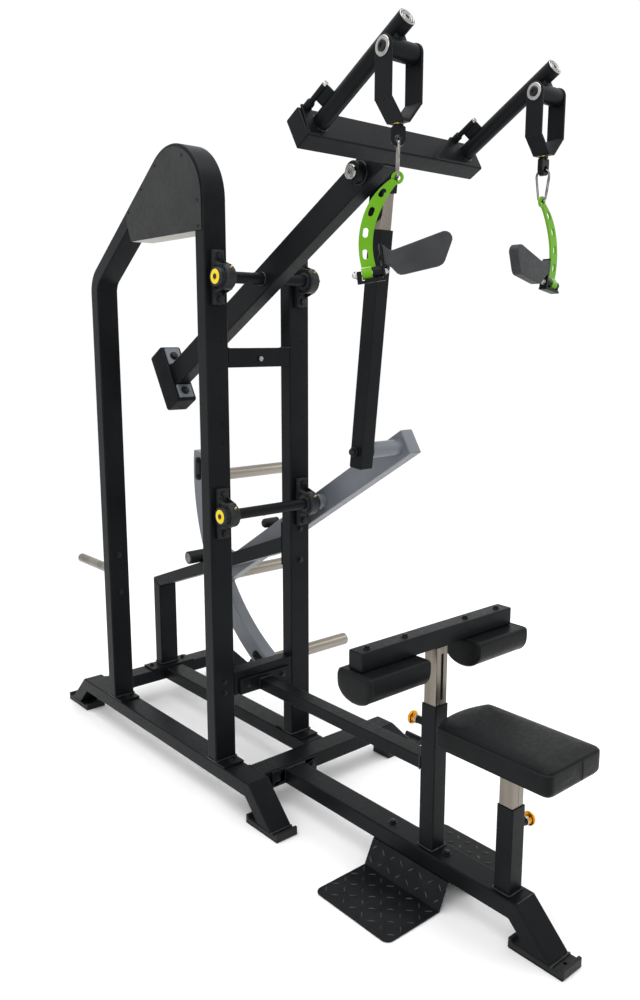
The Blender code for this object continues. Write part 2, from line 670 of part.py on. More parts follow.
def build_upper_lever():
    half = LEVER_DEPTH / 2
    piece("upper_shaft", "black_powder_coat", upper_frame, shaft_shapes(SHAFT_END_X), smooth=True)
    width = (-LEVER_HALF_WIDTH, LEVER_HALF_WIDTH)
    beam = block(width, (-CROSSHEAD_REACH + GAP, LEVER_TAIL), (-half, half))
    boss = rod((-LINK_REACH, 0.0), 0.029, -0.052, -LEVER_HALF_WIDTH + 0.002, "X")
    disc = rod((-LINK_REACH, 0.0), 0.020, -0.060, -0.051, "X")
    pin = rod((-LINK_REACH, 0.0), LINK_PIN_RADIUS, 0.020, 0.092, "X", 20)
    bore = rod((0.0, 0.0), SHAFT_RADIUS + GAP, -0.05, 0.05, "X")
    piece("upper_lever", "black_powder_coat", upper_frame, [beam, boss, disc, pin], [bore], smooth=True)
    head_y = (-CROSSHEAD_REACH - TUBE_D, -CROSSHEAD_REACH)
    head = block((-CROSSHEAD_HALF, CROSSHEAD_HALF), head_y, (-half, half))
    piece("crosshead", "black_powder_coat", upper_frame, [head])
    pull_arm("left", -1.0)
    pull_arm("right", 1.0)
    box = block((-WEIGHT_HALF_WIDTH, WEIGHT_HALF_WIDTH), (LEVER_TAIL + 0.010, WEIGHT_END), WEIGHT_Z)
    plate_z = (WEIGHT_Z[0] + 0.010, WEIGHT_Z[1] - 0.010)
    plate = block((-0.032, 0.032), (LEVER_TAIL + GAP, LEVER_TAIL + 0.011), plate_z)
    piece("counterweight", "black_powder_coat", upper_frame, [box, plate])


# ---------------------------------------------------------------- link

def build_link():
    middle = (LINK_X[0] + LINK_X[1]) / 2
    half = INNER_TUBE / 2
    head = block(LINK_X, (-0.025, 0.025), (-0.040, 0.030))
    flank = [(-0.025, 0.030), (0.025, 0.030), (0.025, -0.126), (-0.025, -0.098)]
    bracket = prism(flank, LINK_X[0] - PLATE, LINK_X[0] + 0.001, "X")
    tube = block((middle - half, middle + half), (-half, half), (INNER_TUBE_END, -0.038))
    bore = rod((0.0, 0.0), LINK_PIN_RADIUS + 2 * GAP, 0.0, 0.2, "X", 20)
    piece("link_inner_tube", "chrome", link_frame, [head, bracket, tube], [bore])
    pocket_half = half + 0.0006
    body = block(LINK_X, (-0.025, 0.025), (-LINK_LENGTH - OUTER_TUBE_TAIL, OUTER_TUBE_TOP))
    bolt = rod((0.0, -LINK_LENGTH), 0.015, LINK_X[0] - 0.011, LINK_X[0] + 0.002, "X", 12)
    pocket_x = (middle - pocket_half, middle + pocket_half)
    pocket = block(pocket_x, (-pocket_half, pocket_half), (INNER_TUBE_END - 0.006, 0.0))
    piece("link_outer_tube", "black_powder_coat", link_frame, [body, bolt], [pocket])


# ---------------------------------------------------------------- lower lever

def build_lower_lever():
    half = LEVER_DEPTH / 2
    collar = rod((0.0, 0.0), BOSS_RADIUS, 0.1925, LOWER_LEVER_X[0] - GAP, "X")
    shapes = shaft_shapes(LOWER_LEVER_X[1] + 0.002) + [collar]
    piece("lower_shaft", "black_powder_coat", lower_frame, shapes, smooth=True)
    beam = block(LOWER_LEVER_X, (-LOWER_LEVER_FRONT, ARC_RADII[0] - 0.002), (-half, half))
    boss = rod((-LOWER_REACH, 0.0), BOSS_RADIUS, LINK_X[1] + 0.0015, LOWER_LEVER_X[0] + 0.002, "X")
    corner_z = 0.118
    corner = [(0.625, half - 0.001), (ARC_RADII[0] - 0.003, half - 0.001)]
    corner += [(0.7145, corner_z), (0.700, corner_z)]
    web = prism(corner, ROLLER_X[1] + GAP, LOWER_LEVER_X[1] - 0.010, "X")
    bore = rod((0.0, 0.0), SHAFT_RADIUS + GAP, 0.1, 0.4, "X")
    piece("lower_lever", "grey_powder_coat", lower_frame, [beam, boss, web], [bore], smooth=True)
    outline = arc((0.0, 0.0), ARC_RADII[1], *ARC_ANGLES, 24)
    outline += arc((0.0, 0.0), ARC_RADII[0], *ARC_ANGLES[::-1], 24)
    piece("weight_arm", "grey_powder_coat", lower_frame, [prism(outline, *LOWER_LEVER_X, "X")], smooth=True)
    radius = (ARC_RADII[0] + ARC_RADII[1]) / 2
    for name, angle in (("upper", PEG_ANGLE), ("middle", 0.0), ("lower", -PEG_ANGLE)):
        centre = (radius * math.cos(angle), radius * math.sin(angle))
        peg = rod(centre, PEG_RADIUS, LOWER_LEVER_X[1] + GAP, PEG_END_X, "X")
        piece(name + "_weight_peg", "stainless", lower_frame, [peg], smooth=True)
    roller = rod(ROLLER_AT, ROLLER_RADIUS, *ROLLER_X, "X")
    piece("stop_roller", "black_rubber", lower_frame, [roller], smooth=True)


# ---------------------------------------------------------------- stirrups and handles

def build_stirrup(side, frame):
    """Bent flat-bar loop hung on a cross pin, with a washer and bolt head at each end of the pin."""
    half = STIRRUP_WIDTH / 2
    inner = STIRRUP_HALF - STIRRUP_PLATE
    shapes = []
    for way in (-1.0, 1.0):
        outline = [(-half, STIRRUP_BEND + 0.004), (half, STIRRUP_BEND + 0.004)]
        outline += arc((0.0, 0.0), half, 0.0, math.pi, 10)
        x_range = sorted((way * inner, way * STIRRUP_HALF))
        shapes.append(prism(outline, *x_range, "X"))
    toe = STIRRUP_TOE
    top = STIRRUP_BEND + 0.006
    floor = STIRRUP_BOTTOM + STIRRUP_PLATE
    outline = [(-STIRRUP_HALF, top), (-STIRRUP_HALF, STIRRUP_BEND)]
    outline += [(-toe, STIRRUP_BOTTOM), (toe, STIRRUP_BOTTOM)]
    outline += [(STIRRUP_HALF, STIRRUP_BEND), (STIRRUP_HALF, top), (inner, top)]
    outline += [(inner, STIRRUP_BEND + 0.002), (toe - 0.004, floor), (-toe + 0.004, floor)]
    outline += [(-inner, STIRRUP_BEND + 0.002), (-inner, top)]
    shapes.append(prism(outline, -half, half, "Y"))
    shapes.append(rod((0.0, 0.0), PIN_RADIUS, -STIRRUP_HALF - 0.002, STIRRUP_HALF + 0.002, "X"))
    for way in (-1.0, 1.0):
        washer = sorted((way * (STIRRUP_HALF - 0.001), way * (STIRRUP_HALF + 0.003)))
        shapes.append(rod((0.0, 0.0), 0.0205, *washer, "X"))
    piece(side + "_stirrup", "black_powder_coat", frame, shapes, smooth=True)


def build_swivel(side, frame):
    """Swivel eye under the stirrup: a collar, a short neck and a flat eye."""
    eye_radius = 0.0155
    outline = [(-eye_radius, -0.008), (-eye_radius, SWIVEL_EYE)]
    outline += arc((0.0, SWIVEL_EYE), eye_radius, math.pi, 2 * math.pi, 10)
    outline += [(eye_radius, -0.008)]
    eye = prism(outline, -0.007, 0.007, "Y")
    neck = rod((0.0, 0.0), 0.0095, -0.016, -0.002, "Z", 16)
    collar = rod((0.0, 0.0), 0.0115, -0.004, -GAP, "Z", 16)
    hole = rod((0.0, SWIVEL_EYE), 0.0080, -0.02, 0.02, "Y", 16)
    piece(side + "_swivel", "black_powder_coat", frame, [neck, collar, eye], [hole], smooth=True)


def build_carabiner(side, frame):
    """Pear-shaped spring hook in the YZ plane; its top bar runs through the frame's origin."""
    top_radius = 0.0180
    bottom_radius = 0.0110
    top_centre = (0.0, -top_radius)
    bottom_centre = (0.0, -CARABINER_LENGTH + bottom_radius)
    lean = math.asin((top_radius - bottom_radius) / (top_centre[1] - bottom_centre[1]))
    points = arc(top_centre, top_radius, -lean, math.pi + lean, 12)
    points += arc(bottom_centre, bottom_radius, math.pi + lean, 2 * math.pi - lean, 10)
    centreline = [(0.0, y, z) for y, z in points]
    piece(side + "_carabiner", "chrome", frame, [loop_tube(centreline, CARABINER_WIRE)], smooth=True)


def bow_edge(way):
    """Outer or inner edge of the bowed plate, drawn in towards the eye at its top."""
    points = []
    for step in range(19):
        angle = BOW_ANGLES[0] + (BOW_ANGLES[1] - BOW_ANGLES[0]) * step / 18
        share = min(1.0, (angle - BOW_ANGLES[0]) / BOW_TAPER)
        width = BOW_TOP_WIDTH + (BOW_HALF_WIDTH - BOW_TOP_WIDTH) * math.sin(share * math.pi / 2)
        radius = BOW_RADIUS + way * width
        points.append((BOW_CENTRE[0] + radius * math.cos(angle), BOW_CENTRE[1] + radius * math.sin(angle)))
    return points


def build_handle_plate(side, frame):
    """Bowed green plate in the XZ plane with an eye at the top and the grip's sleeve at the bottom."""
    half = HANDLE_PLATE / 2
    outline = bow_edge(1.0) + bow_edge(-1.0)[::-1]
    band = prism(outline, -half, half, "Y")
    eye = rod((0.0, 0.0), 0.0135, -half, half, "Y", 20)
    sleeve = grip_rod(GRIP_SLEEVE_RADIUS, -0.011, 0.011, 16)
    cuts = [rod((0.0, 0.0), 0.0065, -0.02, 0.02, "Y", 16), grip_rod(0.0056, -0.03, 0.03, 12)]
    for index in range(4):
        angle = math.radians(141.8 + 15.2 * index)
        centre = (
            BOW_CENTRE[0] + (BOW_RADIUS + 0.002) * math.cos(angle),
            BOW_CENTRE[1] + (BOW_RADIUS + 0.002) * math.sin(angle),
        )
        cuts.append(prism(obround(centre, 0.0050, 0.0058, angle - math.pi / 2), -0.02, 0.02, "Y"))
    piece(side + "_handle_plate", "green_powder_coat", frame, [band, eye, sleeve], cuts, smooth=True)


def grip_rod(radius, low, high, sides):
    """Round bar along the grip's own tilted hinge axis, in the handle plate's frame."""
    bar = rod((0.0, 0.0), radius, low, high, "X", sides)
    turn = Matrix.Translation((GRIP_AXIS_AT[0], 0.0, GRIP_AXIS_AT[1]))
    turn = turn @ Matrix.Rotation(-GRIP_AXIS_TILT, 4, "Y")
    bar.data.transform(turn)
    return bar


def build_grip(side, frame):
    """Bracket, hinge bolt and paddle grip, in a frame on the hinge axis that runs along X."""
    base = block((-0.023, 0.040), (-0.012, 0.012), (-0.0205, -0.0145))
    left_ear = block((-0.023, -0.0125), (-0.009, 0.009), (-0.019, 0.006))
    right_ear = block((0.0125, 0.040), (-0.009, 0.009), (-0.019, 0.006))
    bolt = rod((0.0, 0.0), 0.005, -0.027, 0.044, "X", 12)
    left_nut = rod((0.0, 0.0), 0.0085, -0.034, -0.0225, "X", 12)
    right_nut = rod((0.0, 0.0), 0.0075, 0.0395, 0.050, "X", 12)
    flange = block((0.034, 0.040), (-0.011, 0.011), (-0.004, 0.058))
    paddle_outline = [
        (0.037, 0.016), (0.037, 0.055), (0.044, 0.052), (0.056, 0.039), (0.176, 0.0625), (0.188, 0.059),
        (0.194, 0.050), (0.194, 0.041), (0.170, -0.002), (0.160, -0.009), (0.078, -0.0145), (0.066, -0.010),
        (0.0566, 0.004), (0.046, 0.012),
    ]
    paddle = prism(paddle_outline, -0.0135, 0.0135, "Y")
    shapes = [base, left_ear, right_ear, bolt, left_nut, right_nut, flange, paddle]
    piece(side + "_grip", "black_rubber", frame, shapes, smooth=True)


def build_handle(side, way):
    """One whole hanging chain: stirrup, swivel, carabiner, plate and grip, each on its own joint."""
    x = way * ARM_X
    reach = (
        -SLEEVE_REACH * math.cos(UPPER_ANGLE) - SLEEVE_DROP * math.sin(UPPER_ANGLE),
        SLEEVE_REACH * math.sin(UPPER_ANGLE) - SLEEVE_DROP * math.cos(UPPER_ANGLE),
    )
    pivot = Vector((x, SHAFT_Y + reach[0], UPPER_SHAFT_Z + reach[1]))
    yaw = HANDLE_YAW[side]
    stirrup_frame = joint_frame(side + "_stirrup_axis", pivot, upper_frame)
    build_stirrup(side, stirrup_frame)
    collar = pivot + Vector((0.0, 0.0, STIRRUP_BOTTOM - GAP))
    swivel_frame = joint_frame(side + "_swivel_axis", collar, stirrup_frame, yaw=yaw)
    build_swivel(side, swivel_frame)
    hook = collar + Vector((0.0, 0.0, SWIVEL_EYE + 0.0008))
    carabiner_frame = joint_frame(side + "_carabiner_axis", hook, swivel_frame, yaw=yaw)
    build_carabiner(side, carabiner_frame)
    eye = hook - Vector((0.0, 0.0, CARABINER_LENGTH + 0.0008))
    plate_frame = joint_frame(side + "_plate_axis", eye, carabiner_frame, yaw=yaw)
    build_handle_plate(side, plate_frame)
    along = Vector((math.cos(yaw), math.sin(yaw), 0.0))
    hinge = eye + along * GRIP_AXIS_AT[0] + Vector((0.0, 0.0, GRIP_AXIS_AT[1]))
    grip_frame = joint_frame(side + "_grip_axis", hinge, plate_frame, yaw=yaw)
    grip_frame.rotation_euler = (0.0, -GRIP_AXIS_TILT, 0.0)
    build_grip(side, grip_frame)


# ---------------------------------------------------------------- assembly

clear_scene()
finishes = make_finishes()
machine = bpy.data.objects.new("machine", None)
bpy.context.scene.collection.objects.link(machine)
machine.location = (-ORIGIN_X, -ORIGIN_Y, 0.0)
bpy.context.view_layer.update()

link_top = Vector((
    0.0,
    SHAFT_Y - LINK_REACH * math.cos(UPPER_ANGLE),
    UPPER_SHAFT_Z + LINK_REACH * math.sin(UPPER_ANGLE),
))
link_foot = Vector((
    0.0,
    SHAFT_Y - LOWER_REACH * math.cos(LOWER_ANGLE),
    LOWER_SHAFT_Z + LOWER_REACH * math.sin(LOWER_ANGLE),
))
LINK_LENGTH = (link_top - link_foot).length
link_tilt = math.atan2(link_foot.y - link_top.y, link_top.z - link_foot.z)

upper_frame = joint_frame("upper_lever_axis", (0.0, SHAFT_Y, UPPER_SHAFT_Z), machine, tilt=-UPPER_ANGLE)
lower_frame = joint_frame("lower_lever_axis", (0.0, SHAFT_Y, LOWER_SHAFT_Z), machine, tilt=-LOWER_ANGLE)
link_frame = joint_frame("link_axis", link_top, upper_frame, tilt=link_tilt)

build_base()
build_tread()
build_hoop()
build_shroud()
build_columns()
build_stop()
build_storage_peg()
build_bearings()
build_sleeve("thigh_sleeve", THIGH_Y, THIGH_SLEEVE_TOP, "Y", THIGH_KNOB_Z)
build_sleeve("seat_sleeve", SEAT_Y, SEAT_SLEEVE_TOP, "X", SEAT_KNOB_Z)
build_knob("thigh_knob", THIGH_Y, "Y", THIGH_KNOB_Z)
build_knob("seat_knob", SEAT_Y, "X", SEAT_KNOB_Z)
build_seat()
build_thigh_support()
build_upper_lever()
build_link()
build_lower_lever()
build_handle("left", -1.0)
build_handle("right", 1.0)
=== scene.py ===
from math import asin, atan2, cos, exp, hypot, pi, radians, sin, sqrt

import bmesh
import bpy
from mathutils import Matrix, Vector, bvhtree


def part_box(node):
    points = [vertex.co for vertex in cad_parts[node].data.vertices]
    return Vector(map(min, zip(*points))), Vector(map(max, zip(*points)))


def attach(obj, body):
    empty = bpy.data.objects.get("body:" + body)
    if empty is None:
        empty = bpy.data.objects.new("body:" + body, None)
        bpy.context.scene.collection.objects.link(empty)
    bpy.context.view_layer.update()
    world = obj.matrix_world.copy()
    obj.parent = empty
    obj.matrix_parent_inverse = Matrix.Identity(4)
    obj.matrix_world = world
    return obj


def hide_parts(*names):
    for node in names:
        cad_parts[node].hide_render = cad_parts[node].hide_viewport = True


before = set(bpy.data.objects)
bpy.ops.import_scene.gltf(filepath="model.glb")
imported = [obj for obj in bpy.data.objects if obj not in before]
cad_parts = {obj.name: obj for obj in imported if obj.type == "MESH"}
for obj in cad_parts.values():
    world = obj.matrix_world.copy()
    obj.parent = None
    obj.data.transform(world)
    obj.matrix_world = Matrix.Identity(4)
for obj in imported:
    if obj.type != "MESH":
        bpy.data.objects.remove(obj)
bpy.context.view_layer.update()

# The machine's own design frame: X = 0 on the spine's middle plane, Y = 0 on the uprights' front face.
MACHINE = Matrix.Translation((-0.1524, 0.054, 0.0))
SIDE_X = 0.16
TUBE_HALF = 0.04
SHAFT_Y = -0.0476
SHAFT_RADIUS = 0.0175
UPPER_SHAFT_Z = 1.688
LOWER_SHAFT_Z = 0.97
SPINE_TOP = 0.127
RAIL_TOP = 0.134
THIGH_Y = -0.767
SEAT_Y = -1.027
UPPER_TILT = radians(-30.0)
LOWER_TILT = radians(-31.6)
LINK_REACH = 0.498
LOWER_REACH = 0.4106
BEAM_FRONT = -0.5812
CROSSHEAD_FRONT = -0.632
ARM_X = 0.2605
SLEEVE_REACH = 0.905
SLEEVE_DROP = 0.042
STIRRUP_BOTTOM = -0.144
SWIVEL_EYE = -0.032
PEG_REACH = 0.765
PEG_ANGLES = {"upper": radians(30.8), "middle": 0.0, "lower": radians(-30.8)}
ROLLER_AT = (0.0, 0.6953, 0.0793)
STORAGE_PEG_AT = (-SIDE_X, 0.0, 0.632)
CARABINER_LENGTH = 0.078
GRIP_HINGE = Matrix.Translation((-0.064, 0.0, -0.201)) @ Matrix.Rotation(radians(-9.0), 4, "Y")
HANDLE_YAW = {"left": radians(-40.6), "right": radians(-176.0)}


def place(position, tilt=0.0, yaw=0.0):
    """Matrix of a spot in the design frame; tilt turns about X, yaw about Z."""
    turn = Matrix.Rotation(tilt, 4, "X") @ Matrix.Rotation(yaw, 4, "Z")
    return MACHINE @ Matrix.Translation(position) @ turn


UPPER = place((0.0, SHAFT_Y, UPPER_SHAFT_Z), UPPER_TILT)
LOWER = place((0.0, SHAFT_Y, LOWER_SHAFT_Z), LOWER_TILT)
link_top = UPPER @ Vector((0.0, -LINK_REACH, 0.0))
link_foot = LOWER @ Vector((0.0, -LOWER_REACH, 0.0))
link_fall = link_top - link_foot
LINK = Matrix.Translation(link_top) @ Matrix.Rotation(atan2(-link_fall.y, link_fall.z), 4, "X")
LINK.translation.x = MACHINE.translation.x
LINK_LENGTH = hypot(link_fall.y, link_fall.z)


# ---------------------------------------------------------------- finishes

def link_nodes(tree, source, output, target, socket):
    tree.links.new(source.outputs[output], target.inputs[socket])


def noise_node(tree, coordinates, scale, detail):
    made = tree.nodes.new("ShaderNodeTexNoise")
    made.inputs["Scale"].default_value = scale
    made.inputs["Detail"].default_value = detail
    link_nodes(tree, coordinates, "Vector", made, "Vector")
    return made


def ranged(tree, source, output, low, high):
    """The middle of a noise's values spread over low to high."""
    made = tree.nodes.new("ShaderNodeMapRange")
    for socket, value in (("From Min", 0.3), ("From Max", 0.7), ("To Min", low), ("To Max", high)):
        made.inputs[socket].default_value = value
    link_nodes(tree, source, output, made, "Value")
    return made


def finish(name, dark, light, rough, grain, metallic=0.0, mottling=7.0, stretch=(1.0, 1.0, 1.0),
           cells=False, **fixed):
    """Procedural finish: mottled colour, uneven roughness and a fine grain of bumps.

    grain is (scale, strength, depth in metres); cells makes the grain pebbled, as on vinyl;
    fixed holds further inputs of the shader, with _ for a space.
    """
    made = bpy.data.materials.new(name)
    made.use_nodes = True
    tree = made.node_tree
    shader = tree.nodes["Principled BSDF"]
    shader.inputs["Metallic"].default_value = metallic
    for socket, value in fixed.items():
        shader.inputs[socket.replace("_", " ")].default_value = value
    spot = tree.nodes.new("ShaderNodeTexCoord")
    mapping = tree.nodes.new("ShaderNodeMapping")
    mapping.inputs["Scale"].default_value = stretch
    link_nodes(tree, spot, "Object", mapping, "Vector")
    clouds = noise_node(tree, mapping, mottling, 4.0)
    fine = noise_node(tree, mapping, mottling * 9.0, 3.0)
    blend = tree.nodes.new("ShaderNodeMixRGB")
    blend.inputs["Color1"].default_value = (*dark, 1.0)
    blend.inputs["Color2"].default_value = (*light, 1.0)
    share = ranged(tree, clouds, "Fac", 0.0, 1.0)
    link_nodes(tree, share, "Result", blend, "Fac")
    link_nodes(tree, blend, "Color", shader, "Base Color")
    sheen = ranged(tree, fine, "Fac", rough[0], rough[1])
    link_nodes(tree, sheen, "Result", shader, "Roughness")
    if cells:
        pebbles = tree.nodes.new("ShaderNodeTexVoronoi")
        pebbles.inputs["Scale"].default_value = grain[0]
        link_nodes(tree, spot, "Object", pebbles, "Vector")
        source, output = pebbles, "Distance"
    else:
        source, output = noise_node(tree, mapping, grain[0], 2.0), "Fac"
    bump = tree.nodes.new("ShaderNodeBump")
    bump.inputs["Strength"].default_value = grain[1]
    bump.inputs["Distance"].default_value = grain[2]
    link_nodes(tree, source, output, bump, "Height")
    link_nodes(tree, bump, "Normal", shader, "Normal")
    return made


FINISHES = {
    "black": (
        finish("satin_black_powder_coat", (0.0028, 0.0036, 0.0044), (0.0054, 0.0064, 0.0076), (0.32, 0.44),
               (1100.0, 0.16, 0.00025), Specular_IOR_Level=0.1),
        "black_frame"),
    "weld": (
        finish("coated_weld", (0.006, 0.007, 0.008), (0.014, 0.015, 0.017), (0.16, 0.32),
               (420.0, 0.3, 0.0004), mottling=60.0, Specular_IOR_Level=0.3),
        "black_frame"),
    "bolt": (
        finish("blackened_bolt", (0.006, 0.0065, 0.007), (0.018, 0.019, 0.02), (0.28, 0.44),
               (900.0, 0.12, 0.0002), metallic=0.4, mottling=50.0, Specular_IOR_Level=0.3),
        "black_frame"),
    "shroud": (
        finish("textured_dark_grey_sheet", (0.02, 0.0205, 0.021), (0.029, 0.03, 0.031), (0.44, 0.58),
               (1500.0, 0.3, 0.0003), Specular_IOR_Level=0.14),
        "shroud_sheet"),
    "cover": (
        finish("pale_cover", (0.4, 0.375, 0.34), (0.48, 0.455, 0.42), (0.45, 0.6), (900.0, 0.1, 0.0002)),
        "shroud_sheet"),
    "grey": (
        finish("silver_grey_powder_coat", (0.112, 0.122, 0.138), (0.145, 0.156, 0.174), (0.3, 0.42),
               (1100.0, 0.18, 0.00025), metallic=0.15, Specular_IOR_Level=0.35),
        "grey_frame"),
    "casting": (
        finish("black_casting", (0.006, 0.0068, 0.0078), (0.015, 0.0165, 0.018), (0.34, 0.54),
               (380.0, 0.35, 0.0005), mottling=30.0, Specular_IOR_Level=0.25),
        "bearing_casting"),
    "yellow": (
        finish("yellow_cap", (0.68, 0.5, 0.004), (0.78, 0.6, 0.008), (0.38, 0.52),
               (800.0, 0.1, 0.0002), mottling=40.0, Specular_IOR_Level=0.3),
        "bearing_casting"),
    "steel": (
        finish("brushed_stainless", (0.165, 0.148, 0.126), (0.3, 0.272, 0.238), (0.2, 0.36),
               (700.0, 0.14, 0.0002), metallic=1.0, mottling=20.0, stretch=(0.06, 1.0, 1.0)),
        "peg_steel"),
    "post": (
        finish("brushed_post", (0.145, 0.128, 0.108), (0.27, 0.244, 0.212), (0.22, 0.38),
               (700.0, 0.14, 0.0002), metallic=1.0, mottling=18.0, stretch=(1.0, 1.0, 0.05)),
        "chrome"),
    "chrome": (
        finish("polished_chrome", (0.27, 0.265, 0.255), (0.5, 0.49, 0.475), (0.08, 0.2),
               (500.0, 0.05, 0.0001), metallic=1.0, mottling=30.0),
        "chrome"),
    "brass": (
        finish("brass", (0.5, 0.34, 0.1), (0.66, 0.46, 0.16), (0.22, 0.34),
               (500.0, 0.08, 0.0001), metallic=1.0, mottling=40.0),
        "chrome"),
    "rubber": (
        finish("black_rubber", (0.0036, 0.004, 0.0045), (0.008, 0.0085, 0.0092), (0.4, 0.56),
               (650.0, 0.35, 0.0004), mottling=14.0, Specular_IOR_Level=0.22),
        "rubber"),
    "grip": (
        finish("moulded_grip_rubber", (0.019, 0.02, 0.0215), (0.03, 0.031, 0.033), (0.46, 0.62),
               (900.0, 0.45, 0.0004), mottling=22.0, Specular_IOR_Level=0.25),
        "rubber"),
    "vinyl": (
        finish("grained_black_vinyl", (0.003, 0.0035, 0.004), (0.006, 0.0067, 0.0074), (0.34, 0.48),
               (620.0, 0.3, 0.0006), mottling=9.0, cells=True, Specular_IOR_Level=0.1),
        "vinyl"),
    "thread": (
        finish("seam_thread", (0.003, 0.0032, 0.0036), (0.007, 0.0074, 0.008), (0.45, 0.62),
               (1800.0, 0.5, 0.0004), mottling=120.0, Specular_IOR_Level=0.25),
        "vinyl"),
    "green": (
        finish("green_powder_coat", (0.085, 0.255, 0.0006), (0.112, 0.315, 0.0014), (0.26, 0.38),
               (900.0, 0.12, 0.0002), mottling=12.0, Specular_IOR_Level=0.18),
        "green_plate"),
    "green_weld": (
        finish("green_weld", (0.12, 0.32, 0.01), (0.4, 0.58, 0.2), (0.2, 0.34),
               (500.0, 0.4, 0.0005), mottling=90.0),
        "green_plate"),
    "gold": (
        finish("gold_anodised", (0.62, 0.22, 0.008), (0.82, 0.38, 0.02), (0.16, 0.3),
               (500.0, 0.08, 0.0001), metallic=0.9, mottling=40.0),
        "knob"),
    "checker": (
        finish("black_checker_plate", (0.0036, 0.0042, 0.0048), (0.0085, 0.0093, 0.0102), (0.26, 0.4),
               (700.0, 0.18, 0.0003), mottling=16.0, Specular_IOR_Level=0.11),
        "checker_plate"),
    # Painted highlight: the bars' colour runs much lighter than the plate's, standing in for the glints on
    # their ridges.
    "raised": (
        finish("checker_bars_painted_highlight", (0.008, 0.009, 0.01), (0.04, 0.041, 0.041), (0.14, 0.28),
               (900.0, 0.2, 0.0002), mottling=45.0, Specular_IOR_Level=0.32),
        "checker_plate"),
    "hook": (
        finish("bright_hook_steel", (0.105, 0.1, 0.092), (0.3, 0.29, 0.272), (0.12, 0.24),
               (600.0, 0.08, 0.0001), metallic=1.0, mottling=55.0),
        "chrome"),
    # Painted shade: a near-black finish for thin sheets laid on faces, standing in for the shade inside
    # holes and slots.
    "slot": (
        finish("painted_hole_shade", (0.001, 0.001, 0.001), (0.003, 0.003, 0.003), (0.7, 0.9),
               (500.0, 0.1, 0.0001), Specular_IOR_Level=0.1),
        "black_frame"),
}


# ---------------------------------------------------------------- shapes

IDENTITY = Matrix.Identity(4)
AXIS_TURN = {
    "X": Matrix.Rotation(pi / 2, 4, "Y"),
    "Y": Matrix.Rotation(-pi / 2, 4, "X"),
    "Z": IDENTITY,
    "-X": Matrix.Rotation(-pi / 2, 4, "Y"),
    "-Y": Matrix.Rotation(pi / 2, 4, "X"),
    "-Z": Matrix.Rotation(pi, 4, "X"),
}


def arc(centre, radius, start, end, steps):
    points = []
    for step in range(steps + 1):
        angle = start + (end - start) * step / steps
        points.append((centre[0] + radius * cos(angle), centre[1] + radius * sin(angle)))
    return points


def circle(centre, radius, sides):
    return arc(centre, radius, 0.0, 2.0 * pi * (sides - 1) / sides, sides - 1)


def rounded_rectangle(low, high, radius, steps=8):
    corners = (
        (high[0] - radius, high[1] - radius, 0.0),
        (low[0] + radius, high[1] - radius, 0.5),
        (low[0] + radius, low[1] + radius, 1.0),
        (high[0] - radius, low[1] + radius, 1.5),
    )
    points = []
    for first, second, turn in corners:
        points += arc((first, second), radius, turn * pi, (turn + 0.5) * pi, steps)
    return points


def on_axis(axis, low, level, high):
    """Point of an outline (low, high) that lies at a level along the axis."""
    return {"X": (level, low, high), "Y": (low, level, high), "Z": (low, high, level)}[axis]


def join_rings(part, rings, closed=False):
    """Skin over rings of vertices; it ends in flat caps, or is joined to its own start."""
    following_rings = rings[1:] + (rings[:1] if closed else [])
    for here, following in zip(rings, following_rings):
        for index in range(len(here)):
            other = (index + 1) % len(here)
            part.faces.new((here[index], here[other], following[other], following[index]))
    if not closed:
        part.faces.new(rings[0])
        part.faces.new(rings[-1])


